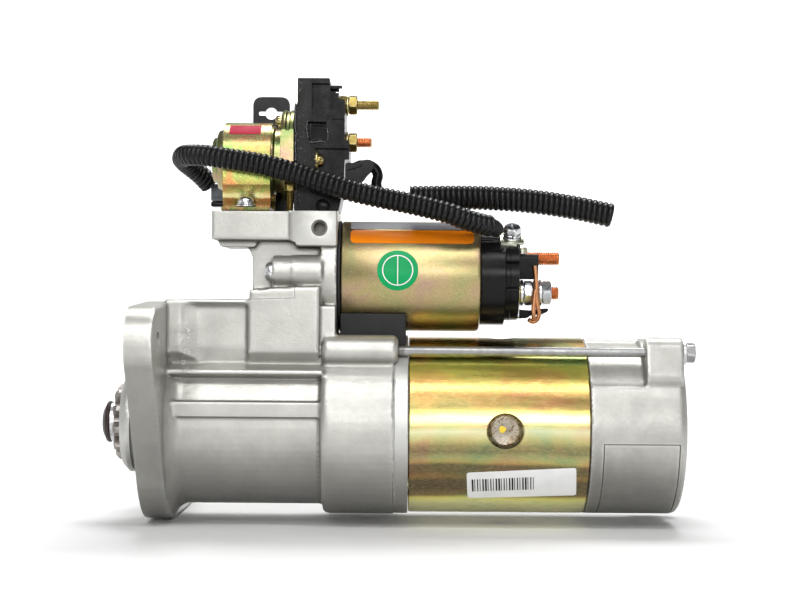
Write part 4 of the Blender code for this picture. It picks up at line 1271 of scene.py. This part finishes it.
def main_studs():
    """The copper studs with their washers and nuts, and the copper lead to the motor."""
    foot = [(184, 0), (184, 7), (187, 7), (187, 3.9), (190.2, 3.9), (190.2, 0)]
    for name, tip, z in (("battery", 232.6, UPPER_STUD_Z), ("motor", 232.3, LOWER_STUD_Z)):
        ridges = thread(f"{name}_thread", 190, tip, 3.95, 1.25, (0, z))
        post = combined(turned(f"{name}_post", foot, (0, z)), [ridges])
        dressed(post, "copper", "copper", f"{name}_stud")
    spot = (0, LOWER_STUD_Z)
    for name, low, high, outer, paint in (
        ("gold_washer", 209.0, 210.2, 7.6, "yellow"), ("inner_washer", 210.5, 212.2, 7.5, "zinc"),
        ("outer_washer", 221.0, 222.6, 7.6, "zinc"),
    ):
        dressed(washer(name, low, high, 4.1, outer, spot), paint, "zinc_steel")
    for name, low, high, turn in (("inner_nut", 212.5, 217.5, 10), ("outer_nut", 222.9, 228.0, -8)):
        piece = nut(name, low, high, 13, spot, 4.0, turn)
        dressed(piece, "zinc", "zinc_steel")
    copper_lead(spot)


def copper_lead(spot):
    """The copper eye and the thick wire that loops past it, with the plates behind them."""
    eye = washer("copper_eye", 217.8, 220.6, 4.2, 7.5, spot, 0.6)
    route = [
        (217.9, -11.0, 90.4), (218.5, -10.9, 85), (219.0, -10.2, 79), (219.2, -9.8, 73),
        (220.0, -9.2, 67.4), (220.8, -8.2, 63.4), (219.8, -7.2, 60), (217.4, -6.8, 58.8),
        (215.0, -7.6, 59.9),
    ]
    strand = [(218.5, -10.4, 77), (217.7, -10.3, 70.5), (217.5, -9.8, 64.5), (217.9, -8.4, 60.2)]
    wires = [
        tube("copper_wire", line, lambda *_: COPPER_WIRE_R, 0.6, 20)[0] for line in (route, strand)
    ]
    dressed(joined("motor_lead", [eye, *wires]), "copper", "copper", "motor_lead")
    tongue = prism("cap_tongue", rounded([
        (208.3, 60.4), (214, 60.7), (217, 62.6), (222.4, 62.8), (226.2, 64.6), (226.4, 66.4),
        (221.5, 66.2), (216, 65.2), (208.3, 65.8),
    ], 0.8), -5.4, -1.6, "Y", 0.4)
    dressed(tongue, "black", "black_plastic")
    plate = prism("contact_plate", rectangle((-10.2, 10.2), (60.6, 91.6), 1.5), 208.8, 209.4)
    bore = rod("contact_bore", 208, 210, 4.1, spot)
    upper = prism("contact_slot", rectangle((-9.6, 9.6), (82.4, 92.0)), 208, 210)
    dressed(combined(plate, [], [bore, upper]), "zinc", "zinc_steel")


def signal_terminal():
    """The small screw terminal on the cap, tipped towards the side that the leads come from."""
    x, y, z = 204.9, -12.0, 105.8
    shank = rod_up("signal_shank", (x, y), [(z - 7, 2.2), (z + 1, 2.2)])
    head = hex_up("signal_head", (x, y), z + 3.6, z + 7.6, 8.6)
    slots = [
        block("slot", (x - 2.6, x + 2.6), (y - 0.45, y + 0.45), (z + 6.6, z + 9)),
        block("cross_slot", (x - 0.45, x + 0.45), (y - 2.6, y + 2.6), (z + 6.6, z + 9)),
    ]
    combined(head, [], slots)
    rings = [
        rod_up(name, (x, y), [
            (low, radius - 0.3), (low + 0.2, radius), (high - 0.2, radius), (high, radius - 0.3),
        ])
        for name, low, high, radius in (
            ("flat_washer", z + 0.8, z + 1.9, 5.5), ("spring_washer", z + 2.0, z + 3.5, 5.0),
        )
    ]
    gap = block("washer_gap", (x - 0.4, x + 0.6), (y - 6, y), (z + 1.95, z + 3.55))
    combined(rings[1], [], [gap])
    screw = joined("signal_screw", [shank, head, *rings])
    sheet = rectangle((x - 6.8, x + 6.6), (y - 6.4, y + 7.0), 1.4)
    plate = prism("signal_plate", sheet, z - 0.7, z + 0.7, "Z", 0.25)
    heel = block("plate_heel", (x - 6.8, x + 2.4), (y - 7.4, y - 6.2), (z - 4.2, z + 0.6), 0.3)
    combined(plate, [heel])
    for piece in (screw, plate):
        tipped(piece, (y, z), 32)
    dressed(screw, "zinc", "zinc_steel", "s_terminal_screw")
    dressed(plate, "yellow_zinc", "zinc_steel", "s_terminal_plate")
    spare = hex_up("boss_nut", (210.2, -4.9), 97.1, 100.9, 7.4)
    dressed(spare, "yellow_zinc", "zinc_steel")


def tipped(item, pivot, degrees):
    """Turns a piece about a line along X through a (y, z) spot, with its top going towards -Y."""
    c, s = math.cos(math.radians(degrees)), math.sin(math.radians(degrees))
    for vertex in item.data.vertices:
        x, y, z = vertex.co
        v, w = y - pivot[0] * MM, z - pivot[1] * MM
        vertex.co = (x, pivot[0] * MM + c * v - s * w, pivot[1] * MM + s * v + c * w)


# ---------------------------------------------------------------- relay


def relay_pieces():
    """The relay's can, then every other piece of it."""
    case = turned("relay_case", [
        (35.6, 0), (35.6, 11.8), (36.2, 12.6), (38.0, 13.2), (38.4, 14), (38.5, 15.8),
        (39.2, 16.8), (41.0, 17.4), (41.8, 18.6), (42.4, 19.6), (43, 19.8), (70, 19.8),
        (70.8, 19.2), (71.2, 18.0), (74.4, 18), (74.4, 9), (46, 9), (46, 0),
    ], (0, RELAY_Z), 128)
    dressed(case, "relay_gold", "plated_can", "relay_can")
    relay_band()
    relay_plate()
    relay_block()
    relay_posts()
    back_plate()
    plug_block()


def relay_band():
    """The strap round the relay's can: round its top, straight down its sides, then out as feet."""
    half, thick = STRAP_R, 1.3
    foot = [(half, 134), (half - 2.5, 130.5), (half - 4.5, 124.5), (half - 4.5, 121.8)]
    outer = arc((0, RELAY_Z), half, 0, 180, 40) + [(-y, z) for y, z in foot]
    outer += [(-26, 121.6), (-26, 119.3), (20.6, 119.3), (20.6, 121.6), *foot[::-1]]
    foot = [(half - thick, 134.2), (half - 3.7, 130.8), (half - 5.8, 124.4), (half - 5.8, 121.9)]
    inner = arc((0, RELAY_Z), half - thick, 0, 180, 40) + [(-y, z) for y, z in foot] + foot[::-1]
    band = combined(prism("relay_band", outer, 42.6, 69.4), [], [prism("band_hole", inner, 40, 72)])
    softened(band, 0.35)
    dressed(band, "strap", "plated_can", "relay_strap")
    spot = (56.0, -22.2)
    foot = [
        rod_up("foot_plate", spot, [(121.7, 5.6), (121.9, 5.8), (122.5, 5.8), (122.7, 5.6)]),
        rod_up("foot_washer", spot, [(122.8, 4.9), (123.0, 5.1), (123.4, 5.1), (123.6, 4.9)]),
        rod_up("foot_head", spot, [
            (123.7, 4.6), (125.2, 4.5), (126.4, 3.9), (127.2, 2.9), (127.6, 1.4), (127.7, 0.2),
        ]),
    ]
    dressed(joined("band_bolt", foot), "zinc", "zinc_steel")


def relay_plate():
    """The plated end plate of the relay's can, with its crimped rim and two fixing screws."""
    plate = turned("relay_plate", [
        (74.9, 12), (74.9, 25.6), (75.8, 26.4), (77.2, 26.6), (78.2, 25.8), (79.4, 25.8),
        (80.2, 26.6), (81.8, 26.6), (82.2, 26.2), (82.2, 12),
    ], (0, 151.5), 120)
    combined(plate, [], [block("plate_notch", (70, 90), (-32, -22.6), (135, 165))])
    dressed(softened(plate, 0.3), "relay_gold", "plated_can", "relay_flange")
    for i, y in enumerate((-12, 12)):
        screw = turned(f"plate_screw_{i + 1}", [
            (71.4, 0), (71.4, 1.4), (71.9, 2.1), (73.2, 2.6), (74.9, 2.7), (74.9, 0),
        ], (y, 170.6), 32)
        dressed(screw, "yellow", "zinc_steel")


def relay_block():
    """The relay's moulded terminal body: steps, pockets, ribs and a pin."""
    half = 20.9
    side = [
        (82.6, 119.8), (107.4, 119.8), (110, 132), (110.6, 149), (113.1, 149), (113.1, 159.3),
        (110.6, 159.3), (110.6, 181.8), (104.6, 186.8), (102.2, 187), (102.2, 193.9), (84.2, 193.9),
        (84.2, 180), (82.6, 178),
    ]
    base = prism("relay_block", rounded(side, 0.8), -half, half, "Y")
    joins = [
        block("stud_tower_upper", (103, 106.8), (-8.5, 8.5), (174, 187.2)),
        block("stud_tower_lower", (103, 108.6), (-9, 9), (152.6, 167.2)),
        rod("pin", 101, 108.6, 1.9, (-6, 189.9), 0.5, 32),
        prism("round_boss", circle((90.6, 147.6), 4.6), -21.4, -15, "Y"),
    ]
    for x in (94.4, 96.8, 99.2, 101.6):
        joins.append(block(f"panel_rib_{x}", (x, x + 0.7), (-18.4, -17), (177.4, 190)))
    cuts = [
        rod("relay_room", 80, 95, 14, (0, RELAY_Z)),
        block("near_panel", (92.2, 104), (-30, -17.6), (176.4, 191.0)),
        block("near_shelf", (106.8, 120), (-30, 30), (182.2, 190)),
        block("screw_notch", (94.2, 120), (-30, -17.2), (141.6, 154.8)),
        block("plate_shadow", (102.4, 120), (-30, -18.6), (120, 141.6)),
        block("far_step", (78, 120), (10, 30), (183, 200)),
        block("near_pocket", (90.2, 100.4), (-25, -15.5), (159.0, 169.6)),
        block("pocket_floor", (91.8, 98.8), (-25, -13), (160.6, 168.0)),
        block("lower_slot", (84.5, 88.5), (-22, -19.2), (122, 142)),
        block("mid_groove", (103.4, 112), (-22, -19.4), (168.6, 171.2)),
        block("low_groove", (103.4, 112), (-22, -19.4), (147, 149.4)),
    ]
    cuts += [rod(f"relay_stud_hole_{z}", 104, 120, 3.25, (0, z)) for z in RELAY_STUDS_Z]
    combined(base, joins, cuts)
    dressed(softened(base, 0.3), "relay_black", "black_plastic", "relay_body")
    sealant()
    side_screws()


def sealant():
    """The bead of compound along the joint between the plate and the block, and smears of it."""
    route = [
        (83.0, -20.4, 180.0), (83.2, -21.3, 174.0), (82.9, -21.6, 168.0), (83.5, -21.7, 162.0),
        (83.1, -21.7, 156.0), (83.6, -21.6, 150.0), (83.1, -21.5, 144.0), (83.4, -21.4, 138.0),
    ]

    def profile(distance, length):
        taper = min(1.0, (distance + 0.4) / 3, (length - distance + 0.4) / 3)
        return (0.75 + 0.2 * math.sin(2.1 * distance) * math.sin(0.7 * distance + 1)) * taper

    bead, _ = tube("sealing_bead", route, profile, 0.5, 16)
    dressed(bead, "sealant", "black_plastic")
    for i, route in enumerate((
        [(90.0, -21.0, 170.4), (89.4, -21.1, 166), (90.1, -21.0, 161), (89.7, -21.0, 158.2)],
        [(89.7, -21.0, 158.4), (93, -21.1, 157.9), (97, -21.0, 158.6), (100.8, -21.0, 158.2)],
        [(100.9, -21.0, 158.4), (101.3, -21.1, 163), (100.7, -21.0, 167)],
    )):
        smear, _ = tube(f"pocket_smear_{i}", route, profile, 0.5, 16)
        dressed(smear, "sealant", "black_plastic")


def side_screws():
    """The screw in the block's notch, the rivet below it and the upright fixing screw."""
    screw = turned("side_screw", [
        (92.6, 0), (92.6, 1.9), (94.5, 1.9), (94.5, 5.2), (94.9, 5.5), (95.5, 5.5), (95.9, 5.2),
        (95.9, 3.4), (98.0, 3.1), (98.9, 2.2), (99.1, 0),
    ], (-19.4, 148.2), 40)
    dressed(screw, "yellow", "zinc_steel")
    rivet = rod_across("side_rivet", (98.6, 122.6), [
        (-20.9, 0), (-20.9, 3.6), (-21.2, 3.9), (-21.8, 3.9), (-22.0, 3.6), (-22.0, 0),
    ])
    dressed(rivet, "black", "zinc_steel")
    fixing = thread("fixing_screw", 119.8, 131.0, 2.3, 0.9, (0, 0))
    head = nut("fixing_head", 130.6, 134.4, 5.6, (0, 0), turn=6)
    stand_up(combined(fixing, [head]), (80.4, -21.2))
    dressed(fixing, "brass_dark", "zinc_steel")


def stand_up(item, spot):
    """Turns a solid built along the motor axis so that it stands upright over an (x, y) spot."""
    for vertex in item.data.vertices:
        x, y, z = vertex.co
        vertex.co = (spot[0] * MM + y, spot[1] * MM + z, x)
    return item


def relay_posts():
    """The relay's two studs, each with a spacer, a washer and a nut."""
    for name, z, face, tip, paint, slot in (
        ("upper", RELAY_STUDS_Z[0], 107.0, 129.4, "yellow", "zinc_steel"),
        ("lower", RELAY_STUDS_Z[1], 108.8, 125.4, "copper", "copper"),
    ):
        spot = (0, z)
        post = thread(f"{name}_post", 104.5, tip, 2.95, 1.0, spot)
        dressed(post, paint, slot, f"relay_{name}_stud")
        for piece, look in (
            (nut(f"{name}_post_spacer", face, 110.9, 10, spot, 3.05), "yellow"),
            (washer(f"{name}_post_washer", 111.0, 112.1, 3.1, 6.1, spot), "yellow"),
            (nut(f"{name}_post_nut", 112.3, 117.1, 10, spot, 3.05, 14), "brass_dark"),
        ):
            dressed(piece, look, "zinc_steel")


def back_plate():
    """The black plate behind the relay, with a keyhole near its top and a foot on the pad."""
    plate = prism("back_plate", rounded([
        (55.2, 119.4), (76.8, 119.4), (76.8, 189.0), (55.2, 189.0),
    ], 5.5, 6), 27, 29, "Y")
    foot = block("foot", (55.3, 76.7), (21, 28), (119.4, 121.2))
    heel = block("heel", (55.3, 76.7), (27, 29), (119.4, 127))
    cuts = [
        prism("keyhole", circle((65.9, 179.2), 3.5), 26, 30, "Y"),
        prism("keyhole_slot", rectangle((58.6, 73.2), (178.0, 180.4), 1.0), 26, 30, "Y"),
    ]
    combined(plate, [heel, foot], cuts)
    dressed(softened(plate, 0.4), "paint", "black_paint", "relay_bracket")


def plug_block():
    """The grey connector that the long conduit ends in, with its latch and dark lower shell."""
    body = block("plug_block", (31.6, 41.3), (19.7, 32.9), (127.2, 137.3), 0.9)
    latch = block("latch", (33.4, 39.6), (18.9, 20.4), (129.6, 135), 0.4)
    combined(body, [latch])
    dressed(body, "grey", "grey_plastic", "relay_connector")
    shell = block("plug_shell", (31.6, 41.3), (19.9, 32.7), (124.0, 127.0), 0.8)
    dressed(shell, "black", "grey_plastic")


# ---------------------------------------------------------------- cords


def conduits():
    """The conduit that is held at both ends, its sleeve, and the hooked lead from the relay."""
    long_one, _ = tube(
        "long_conduit", CONDUIT_ROUTE, ribbed(CONDUIT_R), RIB_PITCH / 12, 40, slit=235,
    )
    dressed(long_one, "conduit", "conduit", "control_conduit")
    sleeve, _ = tube(
        "end_sleeve", SLEEVE_ROUTE,
        lambda distance, length: 4.4 - 0.5 * (distance / length) ** 3, 0.4, 32,
    )
    dressed(sleeve, "rubber", "black_rubber", "conduit_sleeve")
    lead, _ = tube(
        "hooked_lead", LEAD_ROUTE,
        lambda distance, length: 3.3 - 0.35 * (distance > 9) - 0.5 * (distance > length - 1),
        0.5, 32,
    )
    boot = prism("boot", rounded([
        (110.9, 147.8), (116.4, 147.0), (123.0, 149.6), (127.2, 148.2), (127.0, 143.6),
        (123.0, 139.9), (120.6, 136.0), (110.9, 136.6),
    ], 2.2), -15.2, -8.8, "Y", 0.9)
    lead = joined("hooked_lead", [lead, boot])
    dressed(lead, "paint", "conduit", "relay_lead")
    free_conduit()


def free_conduit():
    """The conduit that sticks out behind the hooked lead, open at its far end."""
    cord, path = tube(
        "spare_conduit", FREE_CONDUIT_ROUTE, ribbed(FREE_CONDUIT_R), RIB_PITCH / 12, 40,
        slit=250, bore=5.0, bore_depth=9.0,
    )
    dressed(cord, "conduit", "conduit", "free_conduit")


# ---------------------------------------------------------------- stickers


def stickers():
    """Plain coloured film where the real object has labels; none of them says anything."""
    can = {"radius": CAN_R, "at": (0, SOLENOID_Z)}
    middle = 140.8
    turn = 180 - math.degrees(math.asin((87.0 - SOLENOID_Z) / CAN_R))
    for name, outline, x, angle, paint in (
        ("orange_sticker", rectangle((-34.4, 34.4), (-5.3, 5.3), 3.2, 6), 148.8, 134.8, "orange"),
        ("grey_sticker", rectangle((-34.4, 34.4), (-5.6, 5.6), 0.8, 3), 148.8, 112.6, "grey_film"),
        ("green_sticker", circle((0, 0), 11.4, 64), middle, turn, "green"),
    ):
        dressed(sticker(name, outline, x, angle, lift=0.03, **can), paint, "plated_can")
    rim, hole = circle((0, 0), 8.6, 64), circle((0, 0), 8.0, 64)
    line = rectangle((-0.25, 0.25), (-7.9, 7.9))
    mark = [
        sticker("green_sticker_ring", rim, middle, turn, lift=0.16, hole=hole, **can),
        sticker("green_sticker_bar", line, middle, turn, lift=0.16, **can),
    ]
    dressed(joined("green_sticker_mark", mark), "white", "plated_can")
    film = rectangle((-8.9, 8.9), (-4.4, 4.4), 0.9, 3)
    red = sticker("red_sticker", film, 54.6, 129.0, STRAP_R, 0.03, (0, RELAY_Z))
    dressed(red, "red", "plated_can")
    white_sticker()


def tilted(outline):
    """An outline turned about its sheet's middle, as the white label is."""
    c, s = math.cos(math.radians(WHITE_TILT)), math.sin(math.radians(WHITE_TILT))
    return [(c * u - s * v, s * u + c * v) for u, v in outline]


def white_sticker():
    """The white label on the yoke, with plain bars in place of its code."""
    centre, turn = 209.4, 217.0
    sheet = tilted(rectangle((-29.8, 29.8), (-9.9, 9.9), 1.6, 4))
    film = sticker("white_sticker", sheet, centre, turn, YOKE_R, 0.03)
    dressed(film, "white", "plated_yoke")
    bars = []
    for i in range(24):
        u = -27.2 + 1.45 * i
        width = (0.95, 0.4, 0.6, 0.4, 0.8)[i % 5]
        bar = tilted(rectangle((u, u + width), (-5.2, 3.8)))
        bars.append(sticker(f"bar_{i}", bar, centre, turn, YOKE_R, 0.12))
    dressed(joined("white_sticker_bars", bars), "ink", "plated_yoke")


# ---------------------------------------------------------------- carried-over solids

NODE_PAINTS = {
    "bearing": ("front_bearing", "armature_front_bearing", "armature_rear_bearing"),
    "steel": (
        "ring_gear", "planet_gear_1", "planet_gear_2", "planet_gear_3", "planet_carrier",
        "overrunning_clutch", "pinion_shaft", "shift_lever", "lever_pin", "plunger",
        "relay_plunger",
    ),
    "winding": ("armature", "solenoid_coil"),
    "copper": ("commutator", "field_coils", "contact_disc"),
    "zinc": ("plunger_spring",),
    "black": ("brush_holder",),
    "carbon": ("brush_1", "brush_2", "brush_3", "brush_4"),
}


def paint_nodes():
    """Gives the solids that no piece replaces their materials."""
    for paint, names in NODE_PAINTS.items():
        for name in names:
            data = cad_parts[name].data
            data.materials.clear()
            data.materials.append(PAINTS[paint])


# ---------------------------------------------------------------- studio


def camera():
    """The photo's viewpoint."""
    data = bpy.data.cameras.new("camera")
    data.sensor_width = 36.0
    data.lens = LENS
    eye = linked("camera", data)
    eye.location = Vector(EYE) * MM
    eye.rotation_euler = (math.radians(90), -math.radians(ROLL), 0)
    bpy.context.scene.camera = eye


def area_light(name, place, aim, size, power):
    data = bpy.data.lights.new(name, "AREA")
    data.shape = "RECTANGLE"
    data.size, data.size_y = size
    data.energy = power
    lamp = linked(name, data)
    lamp.location = Vector(place)
    lamp.rotation_euler = (Vector(aim) - Vector(place)).to_track_quat("-Z", "Y").to_euler()


def studio():
    """A pale floor that curves up all round, with soft light from every side. Its paper is painted
    dark grey on the camera's side, so that the metal mirrors dark there.
    """
    floor_z = FRAME_LOW.z / MM
    outline = [(1, floor_z), (300, floor_z), (600, floor_z), (1000, floor_z), (1700, floor_z)]
    outline += [(1700 + 900 * math.sin(a), floor_z + 900 - 900 * math.cos(a))
                for a in np.radians(range(10, 91, 10))]
    around = 96
    rings = np.array([ring(z, radius, (140, 0), around, "Z") for radius, z in outline])
    index = np.arange(len(rings) * around).reshape(-1, around)
    right = np.roll(index, -1, axis=1)
    quads = np.stack([index[:-1], right[:-1], right[1:], index[1:]], axis=2).reshape(-1, 4).tolist()
    floor = solid("studio_floor", rings.reshape(-1, 3), quads + [index[0].tolist()])
    paint = Paint("studio_paper", (0.9, 0.9, 0.9), 0.9, 0.0)
    # Painted dark paper on the camera's side, so that the metal shows dark reflections there.
    near = paint.spread(paint.axis("Y"), -2.2, -0.9)
    paint.colour(paint.mix(near, (0.27, 0.27, 0.27), (0.8, 0.8, 0.8)))
    floor.data.materials.append(paint.look)
    middle = (0.14, 0.0, 0.06)
    table = (0.14, -0.3, -0.05)
    for name, place, aim, size, power in (
        ("key", (-0.3, -1.75, 1.2), middle, (1.0, 0.5), 8),
        ("front", (0.3, -2.1, 0.5), middle, (1.3, 0.4), 11),
        ("top", (0.2, 0.5, 1.5), table, (1.0, 0.5), 21),
        ("table", (0.14, -0.75, 0.95), table, (1.2, 0.2), 6),
        ("left", (-1.6, -0.3, 0.6), middle, (0.7, 0.9), 2),
        ("right", (1.9, -0.4, 0.7), middle, (0.7, 0.9), 0.8),
        ("back", (0.14, 1.2, 1.6), (0.14, 2.6, 0.4), (2.6, 0.8), 60),
    ):
        area_light(name, place, aim, size, power)
    world = bpy.data.worlds.new("studio")
    bpy.context.scene.world = world
    world.use_nodes = True
    sky = world.node_tree.nodes["Background"]
    sky.inputs["Color"].default_value = (1, 1, 1, 1)
    sky.inputs["Strength"].default_value = 0.2
    bpy.context.scene.view_settings.view_transform = "Standard"


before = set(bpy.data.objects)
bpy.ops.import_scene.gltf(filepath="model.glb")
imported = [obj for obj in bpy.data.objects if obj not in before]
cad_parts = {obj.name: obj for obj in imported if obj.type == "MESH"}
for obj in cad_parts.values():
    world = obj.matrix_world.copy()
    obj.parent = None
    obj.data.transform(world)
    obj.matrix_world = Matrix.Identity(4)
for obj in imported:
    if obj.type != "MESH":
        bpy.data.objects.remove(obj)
FRAME_LOW, FRAME_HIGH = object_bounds()
PAINTS = make_paints()
camera()
conduits()
drive_casting()
plate_casting()
rear_casting()
yoke_tube()
pole_screws()
long_bolts()
pinion_pieces()
solenoid_pieces()
terminal_cap()
main_studs()
signal_terminal()
relay_pieces()
stickers()
paint_nodes()
studio()
